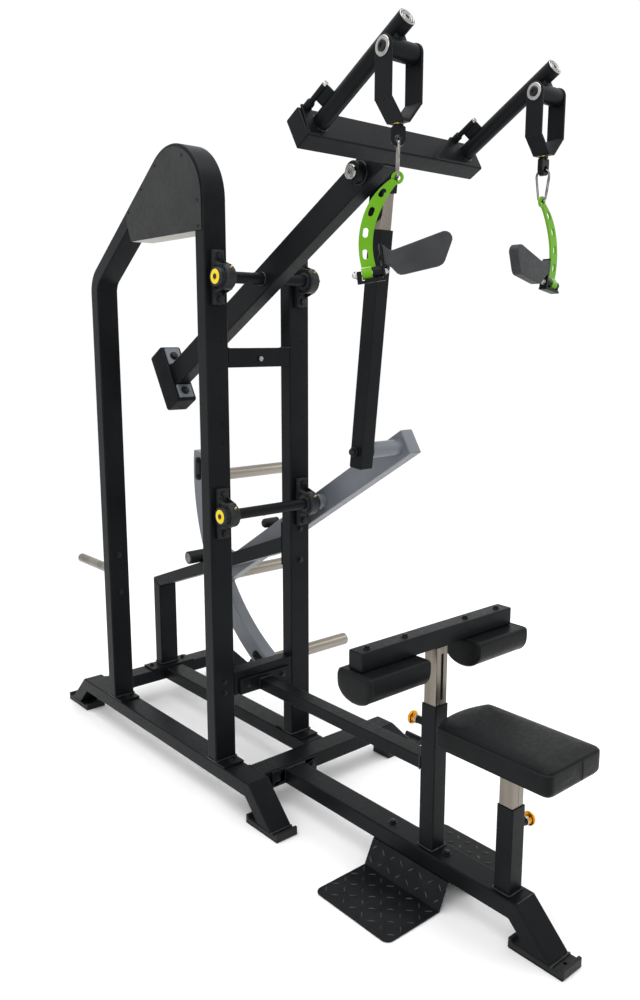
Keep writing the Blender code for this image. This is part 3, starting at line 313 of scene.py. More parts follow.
class Shapes:
    """Closed shapes gathered in one mesh that becomes one piece."""

    def __init__(self, matrix=MACHINE):
        self.matrix = matrix
        self.bm = bmesh.new()

    def take(self, part, matrix=IDENTITY, bevel=0.0, segments=3):
        """Add a finished shape, with its sharp edges rounded."""
        bmesh.ops.recalc_face_normals(part, faces=part.faces)
        if bevel > 0.0:
            sharp = [e for e in part.edges if len(e.link_faces) == 2 and e.calc_face_angle(0.0) > 0.5]
            bmesh.ops.bevel(part, geom=sharp, offset=bevel, segments=segments, profile=0.5,
                            affect="EDGES", clamp_overlap=True)
        part.transform(self.matrix @ matrix)
        mesh = bpy.data.meshes.new("part")
        part.to_mesh(mesh)
        part.free()
        self.bm.from_mesh(mesh)
        bpy.data.meshes.remove(mesh)

    def prism(self, outline, low, high, axis, bevel=0.0, segments=3, matrix=IDENTITY):
        part = bmesh.new()
        rings = [[part.verts.new(on_axis(axis, a, level, b)) for a, b in outline] for level in (low, high)]
        join_rings(part, rings)
        self.take(part, matrix, bevel, segments)

    def block(self, x, y, z, bevel=0.0, segments=3, matrix=IDENTITY):
        outline = [(y[0], z[0]), (y[1], z[0]), (y[1], z[1]), (y[0], z[1])]
        self.prism(outline, x[0], x[1], "X", bevel, segments, matrix)

    def lathe(self, profile, axis="Z", at=(0.0, 0.0, 0.0), sides=40, matrix=IDENTITY):
        """Turned shape: profile is (radius, distance along the axis) pairs, its ends closed."""
        part = bmesh.new()
        rings = []
        for radius, along in profile:
            rings.append([part.verts.new((a, b, along)) for a, b in circle((0.0, 0.0), radius, sides)])
        join_rings(part, rings)
        self.take(part, matrix @ Matrix.Translation(at) @ AXIS_TURN[axis])

    def bar(self, radius, low, high, axis, at=(0.0, 0.0, 0.0), edge=0.0008, sides=40, matrix=IDENTITY):
        """Round bar with chamfered ends, from low to high along the axis."""
        profile = [(radius - edge, low), (radius - edge * 0.3, low + edge * 0.3), (radius, low + edge),
                   (radius, high - edge), (radius - edge * 0.3, high - edge * 0.3), (radius - edge, high)]
        self.lathe(profile, axis, at, sides, matrix)

    def wire(self, points, radius, closed=False, sides=12, ripple=0.0):
        """Round wire along points; ripple swells and thins it along its length, as a weld bead."""
        part = bmesh.new()
        rings = []
        count = len(points)
        points = [Vector(p) for p in points]
        across = Vector((0.31, 0.53, 0.79))
        for index in range(count):
            before = points[index - 1] if closed or index > 0 else points[index]
            after = points[(index + 1) % count] if closed or index < count - 1 else points[index]
            along = (after - before).normalized()
            across = (across - along * across.dot(along)).normalized()
            outward = along.cross(across)
            size = radius * (1.0 + ripple * (0.6 * sin(2.1 * index) + 0.4 * sin(0.37 * index)))
            ring = []
            for side in range(sides):
                angle = 2.0 * pi * side / sides
                offset = across * cos(angle) + outward * sin(angle)
                ring.append(part.verts.new(points[index] + offset * size))
            rings.append(ring)
        join_rings(part, rings, closed)
        self.take(part)

    def bead(self, corners, radius=0.0026, closed=True):
        """Weld bead along straight runs between corners."""
        points = []
        for start, end in zip(corners, corners[1:] + (corners[:1] if closed else [])):
            start, end = Vector(start), Vector(end)
            steps = max(2, int((end - start).length / 0.0022))
            points += [start.lerp(end, step / steps) for step in range(steps)]
        if not closed:
            points.append(Vector(corners[-1]))
        self.wire(points, radius, closed, 8, 0.22)

    def run(self, start, end, radius=0.0024):
        """Weld bead along one straight line."""
        self.bead([start, end], radius, False)

    def ring_bead(self, axis, centre, level, around, radius, count):
        """Weld bead round a bar or boss of radius around; count is its number of points."""
        ring = [on_axis(axis, a, level, b) for a, b in circle(centre, around, count)]
        self.wire(ring, radius, True, 8, 0.2)

    def bolt(self, at, axis, size=0.012, washer=True, matrix=IDENTITY):
        """Hex bolt head with its washer; size is the width across flats."""
        base = 0.0
        spot = matrix @ Matrix.Translation(at) @ AXIS_TURN[axis]
        if washer:
            rim = size * 0.78
            worn = rim - 0.0004
            self.lathe([(worn, 0.0), (rim, 0.0005), (rim, 0.0013), (worn, 0.0017)], matrix=spot)
            base = 0.0015
        height = size * 0.42
        self.prism(circle((0.0, 0.0), size / sqrt(3.0), 6), base, base + height, "Z", size * 0.035, 2, spot)
        self.lathe([(size * 0.46, base + height * 0.8), (size * 0.44, base + height * 1.02),
                    (size * 0.25, base + height * 1.1), (size * 0.02, base + height * 1.12)], matrix=spot)

    def socket_screw(self, at, axis, radius=0.005, height=0.004, matrix=IDENTITY):
        """Round-headed screw with a hollow hexagon."""
        spot = matrix @ Matrix.Translation(at) @ AXIS_TURN[axis]
        hollow = radius * 0.5
        self.lathe([(radius, 0.0), (radius, height * 0.7), (radius * 0.86, height), (hollow, height),
                    (hollow, height * 0.35), (hollow * 0.05, height * 0.3)], sides=24, matrix=spot)

    def acorn(self, at, axis, radius=0.007, height=0.011, matrix=IDENTITY):
        """Domed cap nut: a hexagon under a dome."""
        spot = matrix @ Matrix.Translation(at) @ AXIS_TURN[axis]
        self.prism(circle((0.0, 0.0), radius, 6), 0.0, height * 0.48, "Z", 0.0004, 2, spot)
        dome = [(radius * 0.84, height * 0.46)]
        for t in (0.1, 0.4, 0.7, 1.0, 1.3, 1.5):
            dome.append((radius * 0.82 * cos(t), height * (0.5 + 0.5 * sin(t))))
        self.lathe(dome, sides=24, matrix=spot)

    def emit(self, name, kind, body, replaced=(), angle=38.0):
        """Make the piece: its finish, the body it rides on and the CAD nodes it stands for."""
        mesh = bpy.data.meshes.new(name)
        self.bm.to_mesh(mesh)
        self.bm.free()
        emit_mesh(mesh, name, kind, body, replaced, angle)


def emit_mesh(mesh, name, kind, body, replaced, angle):
    made = bpy.data.objects.new(name, mesh)
    bpy.context.scene.collection.objects.link(made)
    material, slot = FINISHES[kind]
    mesh.materials.clear()
    mesh.materials.append(material)
    mesh.shade_smooth()
    mesh.set_sharp_from_angle(angle=radians(angle))
    weighted = made.modifiers.new("Weighted normals", "WEIGHTED_NORMAL")
    weighted.keep_sharp = True
    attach(made, body)
    if replaced:
        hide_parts(*replaced)
    return made


def refined(node, kind, body, width, segments=3):
    """The CAD node's own shape with rounded edges, each no wider than its narrowest face allows."""
    bm = bmesh.new()
    bm.from_mesh(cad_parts[node].data)
    bmesh.ops.remove_doubles(bm, verts=bm.verts, dist=0.000005)
    bmesh.ops.dissolve_limit(bm, angle_limit=radians(0.6), verts=bm.verts, edges=bm.edges)
    weight = bm.edges.layers.float.new("bevel_weight_edge")
    slim = {face: 2.0 * face.calc_area() / face.calc_perimeter() for face in bm.faces}
    for edge in bm.edges:
        if len(edge.link_faces) == 2 and edge.calc_face_angle(0.0) > radians(28.0):
            narrow = min(slim[face] for face in edge.link_faces)
            edge[weight] = min(1.0, 0.3 * narrow / width)
    mesh = bpy.data.meshes.new(node + "_shell")
    bm.to_mesh(mesh)
    bm.free()
    made = emit_mesh(mesh, node + "_shell", kind, body, (node,), 60.0)
    for edge in mesh.edges:
        edge.use_edge_sharp = False
    rounding = made.modifiers.new("Rounded edges", "BEVEL")
    rounding.width = width
    rounding.segments = segments
    rounding.limit_method = "WEIGHT"
    rounding.use_clamp_overlap = False
    made.modifiers.move(1, 0)


def square_corners(x, y, z_level):
    return [(x[0], y[0], z_level), (x[1], y[0], z_level), (x[1], y[1], z_level), (x[0], y[1], z_level)]


# ---------------------------------------------------------------- base, uprights and shroud

def build_frame():
    widths = {
        0.0045: ("left_base_rail", "front_cross_beam", "rear_cross_beam", "middle_rail", "lower_spine",
                 "right_upright", "stop_post"),
        0.004: ("upper_tie_bar", "lower_cross_tie", "thigh_sleeve", "seat_sleeve"),
        0.0035: ("upper_spine", "stop_bar"),
    }
    for width, nodes in widths.items():
        for node in nodes:
            refined(node, "black", "frame", width)
    for spot in ("front_left", "rear_left", "front_right", "rear_right", "seat_end"):
        refined("foot_" + spot, "rubber", "frame", 0.004)

    welds = Shapes()
    wide, sleeve_half, plate_top, foot_top = TUBE_HALF + 0.0005, 0.0265, RAIL_TOP + 0.0075, 0.0195
    front, rear = (-0.0015, 0.0515), (0.6935, 0.7465)
    for x_mid, y_range in ((-SIDE_X, front), (SIDE_X, front), (-SIDE_X, rear)):
        welds.bead(square_corners((x_mid - wide, x_mid + wide), y_range, plate_top))
    for y_mid in (THIGH_Y, SEAT_Y):
        y_range = (y_mid - sleeve_half, y_mid + sleeve_half)
        welds.bead(square_corners((-sleeve_half, sleeve_half), y_range, SPINE_TOP + 0.0015), 0.0032)
    reach = RAIL_TOP - 0.0183
    ends = ((0.0, -1.083 - (SPINE_TOP - 0.0183)), (-SIDE_X, -0.18 - reach), (-SIDE_X, 0.97 + reach))
    for x_mid, y_at in ends:
        welds.run((x_mid - 0.039, y_at, foot_top), (x_mid + 0.039, y_at, foot_top), 0.0034)
    for y_mid in (-0.115, 0.897):
        x = 0.467 + reach
        welds.run((x, y_mid - 0.039, foot_top), (x, y_mid + 0.039, foot_top), 0.0034)
        x = -SIDE_X + wide
        welds.run((x, y_mid - 0.041, RAIL_TOP - 0.001), (x, y_mid + 0.041, RAIL_TOP - 0.001))
    for x in (SIDE_X - wide, SIDE_X + wide):
        welds.run((x, 0.886, 0.143), (x, 0.938, 0.143), 0.0026)
    for x in (-0.119, 0.119):
        welds.run((x, -0.0015, 1.48), (x, 0.051, 1.48), 0.0022)
    for x in (-0.026, 0.026):
        welds.run((x, -0.739, 0.35), (x, -0.739, 0.388), 0.0022)
    across = (
        (-0.034, 0.034, -1.0825, SPINE_TOP + 0.0001, 0.0016),
        (-0.039, 0.039, -0.1665, SPINE_TOP + 0.001, 0.0026),
        (-0.025, 0.025, -0.7405, 0.389, 0.0022), (-0.025, 0.025, -0.0125, 0.389, 0.0024),
        (0.1205, 0.1995, 0.8855, 0.143, 0.0026), (0.1205, 0.1995, 0.0575, 0.8425, 0.0024),
    )
    for x_low, x_high, y_at, z_at, radius in across:
        welds.run((x_low, y_at, z_at), (x_high, y_at, z_at), radius)
    welds.run((0.1995, 0.0575, 0.842), (0.1995, 0.0575, 0.792), 0.0022)
    welds.emit("frame_welds", "weld", "frame")

    bolts = Shapes()
    base = RAIL_TOP + 0.0063
    for x_at, y_list in ((-SIDE_X, (-0.026, 0.076, 0.669, 0.769)), (SIDE_X, (-0.026, 0.076))):
        for y_at in y_list:
            bolts.bolt((x_at, y_at, base), "Z", 0.017)
    for x_at in (0.085, 0.235):
        bolts.bolt((x_at, 0.912, base), "Z", 0.015)
    for x_at in (-0.073, 0.073):
        bolts.bolt((x_at, -0.1653, 0.108), "-Y", 0.016)
        bolts.bolt((x_at, -0.0103, 0.379), "-Y", 0.014)
    for y_at in (-0.617, -0.824):
        bolts.bolt((0.0, y_at, SPINE_TOP), "Z", 0.016)
    for z_at in (0.875, 0.766):
        bolts.bolt((SIDE_X, -0.0002, z_at), "-Y", 0.014)
        bolts.bolt((SIDE_X, 0.0563, z_at + 0.002), "Y", 0.014)
    for z_at in (0.701, 0.557):
        bolts.bolt((-SIDE_X, 0.7516, z_at), "Y", 0.015)
        bolts.bolt((-SIDE_X, 0.6948, z_at), "-Y", 0.015)
    for z_at in (0.409, 0.371):
        bolts.bolt((-SIDE_X, -0.0002, z_at), "-Y", 0.012)
    bolts.emit("frame_bolts", "bolt", "frame")

    bright = Shapes()
    bright.bolt((0.0, -0.0002, 1.4465), "-Y", 0.015, False)
    bright.emit("tie_bar_bolt", "chrome", "frame")
    caps = Shapes()
    caps.block((SIDE_X - 0.0395, SIDE_X + 0.0395), (0.0005, 0.0495), (1.7635, 1.765), 0.0006)
    caps.emit("upright_cap", "rubber", "frame")
    # Painted shade: thin near-black discs on the uprights' front faces stand in for the shade in their
    # holes.
    holes = Shapes()
    for x_mid, z_list in ((-SIDE_X, (0.99, 1.05, 1.3)), (SIDE_X, (1.05, 1.3))):
        for z_at in z_list:
            holes.lathe([(0.0035, -0.0004), (0.0035, 0.0002)], "-Y", (x_mid + 0.012, 0.0, z_at + 0.2), 20)
    holes.emit("upright_hole_shade", "slot", "frame")


def build_hoop():
    """Left upright, bent over at the top and down again at the back, swept as one tube."""
    slope = radians(35.7)
    front, front_radius = (0.175, 1.915), 0.15
    rear_y, rear_radius = 0.645, 0.075
    reach = front[0] * sin(slope) + front[1] * cos(slope) + front_radius + 0.025
    rear_z = (reach - rear_radius - 0.025 - rear_y * sin(slope)) / cos(slope)
    plate_low, plate_high = 0.1343, 0.1403
    path = [(0.025, plate_high)] + arc(front, front_radius, pi, pi / 2 - slope, 48)
    path += arc((rear_y, rear_z), rear_radius, pi / 2 - slope, 0.0, 24) + [(0.72, plate_high)]
    section = rounded_rectangle((-TUBE_HALF, -0.025), (TUBE_HALF, 0.025), 0.005, 5)
    part = bmesh.new()
    rings = []
    for index, spot in enumerate(path):
        before, after = path[max(index - 1, 0)], path[min(index + 1, len(path) - 1)]
        along = Vector((after[0] - before[0], after[1] - before[1])).normalized()
        if index in (0, len(path) - 1):
            along = Vector((0.0, -1.0 if index else 1.0))
        ring = [(-SIDE_X + a, spot[0] - along.y * b, spot[1] + along.x * b) for a, b in section]
        rings.append([part.verts.new(point) for point in ring])
    join_rings(part, rings)
    hoop = Shapes()
    hoop.take(part)
    for y_range in ((-0.046, 0.096), (0.649, 0.791)):
        hoop.block((-SIDE_X - TUBE_HALF, -SIDE_X + TUBE_HALF), y_range, (plate_low, plate_high), 0.0012)
    hoop.emit("left_hoop_tube", "black", "frame", ("left_hoop",), 50.0)


def build_shroud():
    refined("shroud_outer_panel", "shroud", "frame", 0.0008, 2)
    refined("shroud_inner_panel", "shroud", "frame", 0.0008, 2)
    screws = Shapes()
    spots = ((0.109, 2.047), (0.266, 2.038), (0.355, 1.979), (0.443, 1.917), (0.027, 1.91), (0.028, 1.837))
    for y_at, z_at in spots:
        screws.socket_screw((-SIDE_X - 0.0427, y_at, z_at), "-X", 0.0042, 0.0022)
        screws.socket_screw((-SIDE_X + 0.0427, y_at, z_at), "X", 0.0042, 0.0022)
    screws.emit("shroud_screws", "bolt", "frame")
    cover = Shapes()
    cover.block((-SIDE_X - 0.0385, -SIDE_X + 0.0385), (0.0512, 0.43), (1.8236, 1.8248), 0.0004)
    cover.emit("shroud_bottom_cover", "cover", "frame")


def build_tread():
    """Checker plate with rounded outer corners and rows of raised bars, alternately turned."""
    plate = Shapes()
    y_low, y_high = -0.863, -0.577
    sheet, low, radius = 0.005, 0.001, 0.022
    fold, outer, edge, top = 0.073, 0.266, 0.04, SPINE_TOP - 0.0503
    for way in (-1.0, 1.0):
        outline = [(way * fold, y_low), (way * fold, y_high)]
        start = 0.0 if way > 0 else pi
        end = pi * (-0.5 if way > 0 else 1.5)
        outline += arc((way * (outer - radius), y_high - radius), radius, pi / 2, start, 8)
        outline += arc((way * (outer - radius), y_low + radius), radius, start, end, 8)
        plate.prism(outline, low, low + sheet, "Z", 0.0012, 2)
        slope = [(way * (fold + 0.0015), low + 0.0004), (way * (fold + 0.0015), low + sheet),
                 (way * edge, top), (way * (edge - 0.003), top - sheet), (way * (fold - 0.004), low)]
        plate.prism(slope, y_low, y_high, "Y", 0.001, 2)
    plate.block((-edge, edge), (y_low, y_high), (top - sheet, top - 0.0003), 0.0008, 2)
    plate.emit("tread_plate", "checker", "frame", ("foot_tread",))

    bars = Shapes()
    pitch, half_length, half_width = 0.036, 0.0108, 0.0025
    layers = ((1.0, -0.0002), (0.88, 0.0012), (0.5, 0.0019))

    def raised_bar(spot, tilt, turn):
        outline = [(half_length * cos(pi * t / 8), half_width * sin(pi * t / 8)) for t in range(8)]
        outline += [(-a, -b) for a, b in outline]
        part = bmesh.new()
        join_rings(part, [[part.verts.new((a * scale, b * scale, level)) for a, b in outline]
                          for scale, level in layers])
        bars.take(part, Matrix.Translation(spot) @ tilt @ Matrix.Rotation(radians(turn), 4, "Z"))

    rise, run = top - low - sheet, fold - edge
    slope_angle, slope_length = atan2(rise, run), hypot(rise, run)
    for way in (-1.0, 1.0):
        tilt = Matrix.Rotation(way * slope_angle, 4, "Y")
        for row in range(8):
            y_at = y_low + 0.017 + row * pitch
            for column in range(8):
                turn = 45.0 if (row + column) % 2 else -45.0
                x_at, along = fold + 0.02 + column * pitch, 0.019 + column * pitch
                if x_at < outer - 0.016:
                    raised_bar((way * x_at, y_at, low + sheet), IDENTITY, turn)
                if along < slope_length - 0.012:
                    x_at = fold - along * cos(slope_angle)
                    raised_bar((way * x_at, y_at, low + sheet + along * sin(slope_angle)), tilt, turn)
    # The bars' lighter colour is a painted highlight.
    bars.emit("tread_pattern", "raised", "frame")


def build_storage_peg():
    steel = Shapes()
    steel.bar(0.0175, 0.7455, 1.015, "Y", STORAGE_PEG_AT, 0.002, 48)
    steel.emit("storage_peg_bar", "steel", "frame", ("storage_peg",))
    plate = Shapes()
    plate.block((-SIDE_X - 0.03, -SIDE_X + 0.03), (0.7453, 0.7513), (0.535, 0.723), 0.0012)
    plate.lathe([(0.021, 0.7513), (0.0205, 0.7535), (0.018, 0.7545)], "Y", STORAGE_PEG_AT)
    plate.emit("storage_peg_plate", "black", "frame")


# ---------------------------------------------------------------- bearings and shafts

def build_bearings():
    details = Shapes()
    bolts = Shapes()
    nipples = Shapes()
    for level, height in (("upper", UPPER_SHAFT_Z), ("lower", LOWER_SHAFT_Z)):
        for side, middle in (("left", -SIDE_X), ("right", SIDE_X)):
            refined(level + "_" + side + "_bearing", "casting", "frame", 0.0035)
            for way, axis in ((1.0, "X"), (-1.0, "-X")):
                centre = (middle, SHAFT_Y, height)
                details.lathe([(0.0365, 0.013), (0.0362, 0.0155), (0.0345, 0.0168), (0.0325, 0.016),
                               (0.0318, 0.0146), (0.0285, 0.0146), (0.0278, 0.0162), (0.024, 0.0162)],
                              axis, centre, 48)
                for step in range(9):
                    angle = radians(-160.0 + 22.5 * step)
                    turn = Matrix.Translation(centre) @ Matrix.Rotation(angle, 4, "X")
                    reach = sorted((way * 0.006, way * 0.0132))
                    details.block(reach, (-0.0032, 0.0032), (0.036, 0.0392), 0.001, 2, turn)
            for way in (-1.0, 1.0):
                z_at = height + way * 0.0635
                bolts.bolt((middle, -0.0163, z_at), "-Y", 0.019)
                wide, tall = (middle - 0.0175, middle + 0.0175), (z_at - 0.0125, z_at + 0.0125)
                details.block(wide, (-0.0185, -0.0155), tall, 0.003)
                root = height + way * 0.034
                gusset = [(-0.015, height + way * 0.05), (-0.015, root), (-0.062, root)]
                for x_at in (middle - 0.0165, middle + 0.0165):
                    details.prism(gusset, x_at - 0.0022, x_at + 0.0022, "X", 0.001, 2)
            turn = Matrix.Translation((middle, SHAFT_Y, height)) @ Matrix.Rotation(radians(50.0), 4, "X")
            nipples.lathe([(0.0032, 0.037), (0.0032, 0.041), (0.0022, 0.042), (0.0022, 0.044),
                           (0.003, 0.045), (0.0026, 0.047), (0.0008, 0.048)], "Z", sides=16, matrix=turn)
            bolts.socket_screw((middle + 0.022, SHAFT_Y - 0.0268, height), "-Y", 0.0032, 0.0014)
    details.emit("bearing_rims", "casting", "frame")
    bolts.emit("bearing_bolts", "bolt", "frame")
    nipples.emit("grease_nipples", "brass", "frame")


def end_cap(matrix, body, name):
    cap = Shapes(matrix)
    cap.lathe([(0.0262, -0.1868), (0.0285, -0.188), (0.0285, -0.1945), (0.0272, -0.1962), (0.0225, -0.1964),
               (0.022, -0.1958)], "X", sides=56)
    cap.prism(circle((0.0, 0.0), 0.0085, 6), -0.199, -0.196, "X", 0.0004, 2)
    cap.emit(name + "_end_cap", "casting", body)
    disc = Shapes(matrix)
    disc.lathe([(0.0215, -0.1955), (0.0215, -0.197), (0.0208, -0.1976), (0.018, -0.1976), (0.0176, -0.1971),
                (0.015, -0.1971), (0.0146, -0.1976), (0.0112, -0.1976), (0.0106, -0.1968)], "X", sides=56)
    disc.emit(name + "_yellow_disc", "yellow", body)


def build_shafts():
    for level, matrix, end in (("upper", UPPER, 0.1865), ("lower", LOWER, 0.272)):
        shaft = Shapes(matrix)
        shaft.bar(SHAFT_RADIUS, -0.187, end, "X", edge=0.0015, sides=56)
        shaft.emit(level + "_shaft_bar", "black", level + "_lever", (level + "_shaft",))
        end_cap(matrix, level + "_lever", level + "_shaft")
    collar = Shapes(LOWER)
    collar.lathe([(0.0225, 0.1925), (0.024, 0.194), (0.024, 0.218), (0.023, 0.2197), (0.019, 0.2197)],
                 "X", sides=56)
    collar.emit("lower_shaft_collar", "grey", "lower_lever")
    screws = Shapes(LOWER)
    for angle in (radians(200.0), radians(255.0)):
        turn = Matrix.Rotation(angle, 4, "X")
        screws.socket_screw((0.206, 0.0, 0.0238), "Z", 0.0042, 0.0022, turn)
        screws.socket_screw((-0.03, 0.0, 0.0173), "Z", 0.0035, 0.0016, turn)
    screws.emit("lower_shaft_screws", "chrome", "lower_lever")
    screws = Shapes(UPPER)
    turn = Matrix.Rotation(radians(60.0), 4, "X")
    for x_at in (-0.06, 0.06):
        screws.socket_screw((x_at, 0.0, 0.0173), "Z", 0.0035, 0.0016, turn)
    screws.emit("upper_shaft_screws", "bolt", "upper_lever")


# ---------------------------------------------------------------- upper lever

def chrome_rings(shapes, axis, at, radius, proud):
    """Face plate turned with rings round a socket."""
    steps = ((1.0, 0.0), (1.0, 0.62), (0.93, 1.0), (0.8, 1.0), (0.77, 0.72), (0.7, 0.72), (0.67, 1.0),
             (0.52, 1.0), (0.49, 0.72), (0.42, 0.72), (0.39, 1.0), (0.28, 1.0), (0.26, 0.35), (0.02, 0.3))
    shapes.lathe([(radius * r, proud * a) for r, a in steps], axis, at, 56)


def build_upper_lever():
    half, pin_at, boss = TUBE_HALF, (0.0, -LINK_REACH, 0.0), 0.029
    beam = Shapes(UPPER)
    beam.block((-0.025, 0.025), (-0.5817, 0.604), (-half, half), 0.004)
    beam.lathe([(boss, -0.024), (boss, -0.05), (0.0275, -0.052), (0.02, -0.0522)], "X", pin_at, 56)
    beam.emit("upper_lever_beam", "black", "upper_lever", ("upper_lever",))
    chrome = Shapes(UPPER)
    chrome_rings(chrome, "-X", (-0.0515, -LINK_REACH, 0.0), 0.02, 0.0085)
    chrome.bar(0.01, 0.02, 0.092, "X", pin_at)
    chrome.socket_screw((-0.04, -LINK_REACH - 0.004, 0.0284), "Z", 0.004, 0.0026)
    chrome.emit("link_pin", "chrome", "upper_lever")
    refined("crosshead", "black", "upper_lever", 0.0045)

    weld = Shapes(UPPER)
    weld.run((-0.0255, BEAM_FRONT, -half - 0.0005), (0.0255, BEAM_FRONT, -half - 0.0005), 0.0026)
    for x_face in (-0.0262, 0.0262):
        weld.run((x_face, BEAM_FRONT, -half), (x_face, BEAM_FRONT, half), 0.0026)
    weld.ring_bead("X", (-LINK_REACH, 0.0), -0.0258, 0.0296, 0.0022, 48)
    for x_face in (-0.0262, 0.0262):
        weld.ring_bead("X", (0.0, 0.0), x_face, 0.0195, 0.0028, 36)
    for x_arm in (-ARM_X, ARM_X):
        weld.ring_bead("Y", (x_arm, 0.0), CROSSHEAD_FRONT - 0.0008, 0.0215, 0.0024, 40)
    weld.emit("upper_lever_welds", "weld", "upper_lever")

    weight = Shapes(UPPER)
    weight.block((-0.0425, 0.0425), (0.614, 0.7), (-0.1, 0.117), 0.01, 5)
    weight.block((-0.026, 0.026), (0.6045, 0.615), (-0.04, 0.04), 0.0015)
    weight.emit("counterweight_block", "black", "upper_lever", ("counterweight",))
    brackets = Shapes(UPPER)
    for z_range in ((0.0415, 0.104), (-0.09, -0.0415)):
        brackets.block((-0.03, 0.026), (0.6045, 0.6142), z_range, 0.0018)
    brackets.emit("counterweight_brackets", "grey", "upper_lever")
    bolts = Shapes(UPPER)
    for z_at in (0.072, -0.066):
        bolts.bolt((-0.004, 0.6046, z_at), "-Y", 0.02)
    bolts.emit("counterweight_bolts", "bolt", "upper_lever")


def build_pull_arm(side, way):
    x = way * ARM_X
    start = CROSSHEAD_FRONT
    arm = Shapes(UPPER)
    arm.bar(0.021, -0.954, start - 0.0005, "Y", (x, 0.0, 0.0), 0.001, 56)
    arm.bar(0.022, x - 0.042, x + 0.042, "X", (0.0, -SLEEVE_REACH, -SLEEVE_DROP), 0.0015, 56)
    neck = [(-SLEEVE_REACH + a, z) for a, z in (
        (-0.018, 0.004 - SLEEVE_DROP), (0.018, 0.004 - SLEEVE_DROP), (0.02, -0.006), (-0.02, -0.006))]
    arm.prism(neck, x - 0.014, x + 0.014, "X", 0.003)
    edge = max(x - 0.145, -0.311)
    foot_plate = [(edge, -0.038), (x - 0.018, -0.038), (x - 0.021, 0.004), (x - 0.012, 0.044),
                  (x - 0.043, 0.044)]
    arm.prism(foot_plate, start - 0.006, start, "Y", 0.0012)
    hook_x = x - 0.028
    hook_at = (hook_x, 0.0, 0.0365)
    arm.lathe([(0.0105, start - 0.004), (0.0105, start - 0.022), (0.0092, start - 0.0245),
               (0.007, start - 0.0255), (0.007, start - 0.079), (0.0066, start - 0.08)], "Y", hook_at, 32)
    blade = [(hook_x - 0.0015, 0.034), (hook_x + 0.0025, 0.038), (x - 0.006, 0.014), (x - 0.01, 0.01)]
    arm.prism(blade, start - 0.083, start - 0.036, "Y", 0.0008)
    arm.emit(side + "_arm_bar", "black", "upper_lever", (side + "_pull_arm",))
    chrome = Shapes(UPPER)
    chrome_rings(chrome, "-Y", (x, -0.9515, 0.0), 0.0205, 0.0032)
    tip = [(0.0069, start - 0.079), (0.0069, start - 0.0838), (0.0058, start - 0.0852)]
    chrome.lathe(tip, "Y", hook_at, 32)
    chrome.emit(side + "_arm_cap", "chrome", "upper_lever")


# ---------------------------------------------------------------- link and lower lever

def build_link():
    head = Shapes(LINK)
    head.block((0.047, 0.097), (-0.025, 0.025), (-0.04, 0.03), 0.003)
    flank = [(-0.025, 0.03), (0.025, 0.03), (0.025, -0.126), (-0.025, -0.098)]
    head.prism(flank, 0.041, 0.0475, "X", 0.001)
    head.emit("link_hanger", "black", "link", ("link_inner_tube",))
    tube = Shapes(LINK)
    tube.block((0.052, 0.092), (-0.02, 0.02), (-0.34, -0.039), 0.003)
    tube.emit("link_bright_tube", "post", "link")
    refined("link_outer_tube", "black", "link", 0.0045)
    details = Shapes(LINK)
    details.bolt((0.0365, 0.0, -LINK_LENGTH), "-X", 0.019)
    details.bolt((0.072, -0.025, -0.195), "-Y", 0.012)
    details.emit("link_bolts", "bolt", "link")


def build_lower_lever():
    refined("lower_lever", "grey", "lower_lever", 0.0045)
    refined("weight_arm", "grey", "lower_lever", 0.0045)
    welds = Shapes(LOWER)
    end = 0.645
    for name, angle in PEG_ANGLES.items():
        y_at, z_at = PEG_REACH * cos(angle), PEG_REACH * sin(angle)
        peg = Shapes(LOWER)
        peg.lathe([(0.0225, 0.2703), (0.024, 0.2718), (0.024, 0.64), (0.0232, 0.6432), (0.0205, end),
                   (0.004, end)], "X", (0.0, y_at, z_at), 64)
        peg.emit(name + "_peg_bar", "steel", "lower_lever", (name + "_weight_peg",))
        welds.ring_bead("X", (y_at, z_at), 0.2715, 0.0248, 0.0024, 44)
    for z_at in (-TUBE_HALF - 0.0005, TUBE_HALF + 0.0005):
        welds.run((0.222, 0.724, z_at), (0.268, 0.724, z_at))
    welds.emit("lower_lever_welds", "grey", "lower_lever")
    backs = Shapes(LOWER)
    back_bolts = Shapes(LOWER)
    for angle in (33.5, -30.0):
        turn = Matrix.Rotation(radians(angle), 4, "X")
        outline = rounded_rectangle((0.748, -0.046), (0.78, 0.046), 0.012, 6)
        backs.prism(outline, 0.2125, 0.2202, "X", 0.0014, 2, turn)
        for along in (-0.031, 0.031):
            back_bolts.bolt((0.2127, 0.764, along), "-X", 0.014, matrix=turn)
    backs.emit("peg_backing_plates", "black", "lower_lever")
    back_bolts.emit("peg_backing_bolts", "bolt", "lower_lever")
    bumper = Shapes(LOWER)
    profile = [(0.002, 0.2045), (0.009, 0.2052), (0.014, 0.208), (0.017, 0.213), (0.0175, 0.218),
               (0.0175, 0.27), (0.016, 0.2715)]
    bumper.lathe(profile, "X", (0.0, 0.3375, 0.0578), 48)
    bumper.emit("lever_bumper", "rubber", "lower_lever")
    roller = Shapes(LOWER)
    roller.lathe([(0.0215, 0.0765), (0.0245, 0.0785), (0.025, 0.0815), (0.025, 0.228), (0.0235, 0.23),
                  (0.0235, 0.2343)], "X", ROLLER_AT, 56)
    roller.emit("stop_roller_sleeve", "rubber", "lower_lever", ("stop_roller",))
    ends = Shapes(LOWER)
    ends.lathe([(0.019, 0.0775), (0.019, 0.0757), (0.013, 0.075), (0.0125, 0.0762), (0.003, 0.0762)],
               "X", ROLLER_AT, 40)
    ends.emit("stop_roller_end", "grey", "lower_lever")


# ---------------------------------------------------------------- seat and thigh support

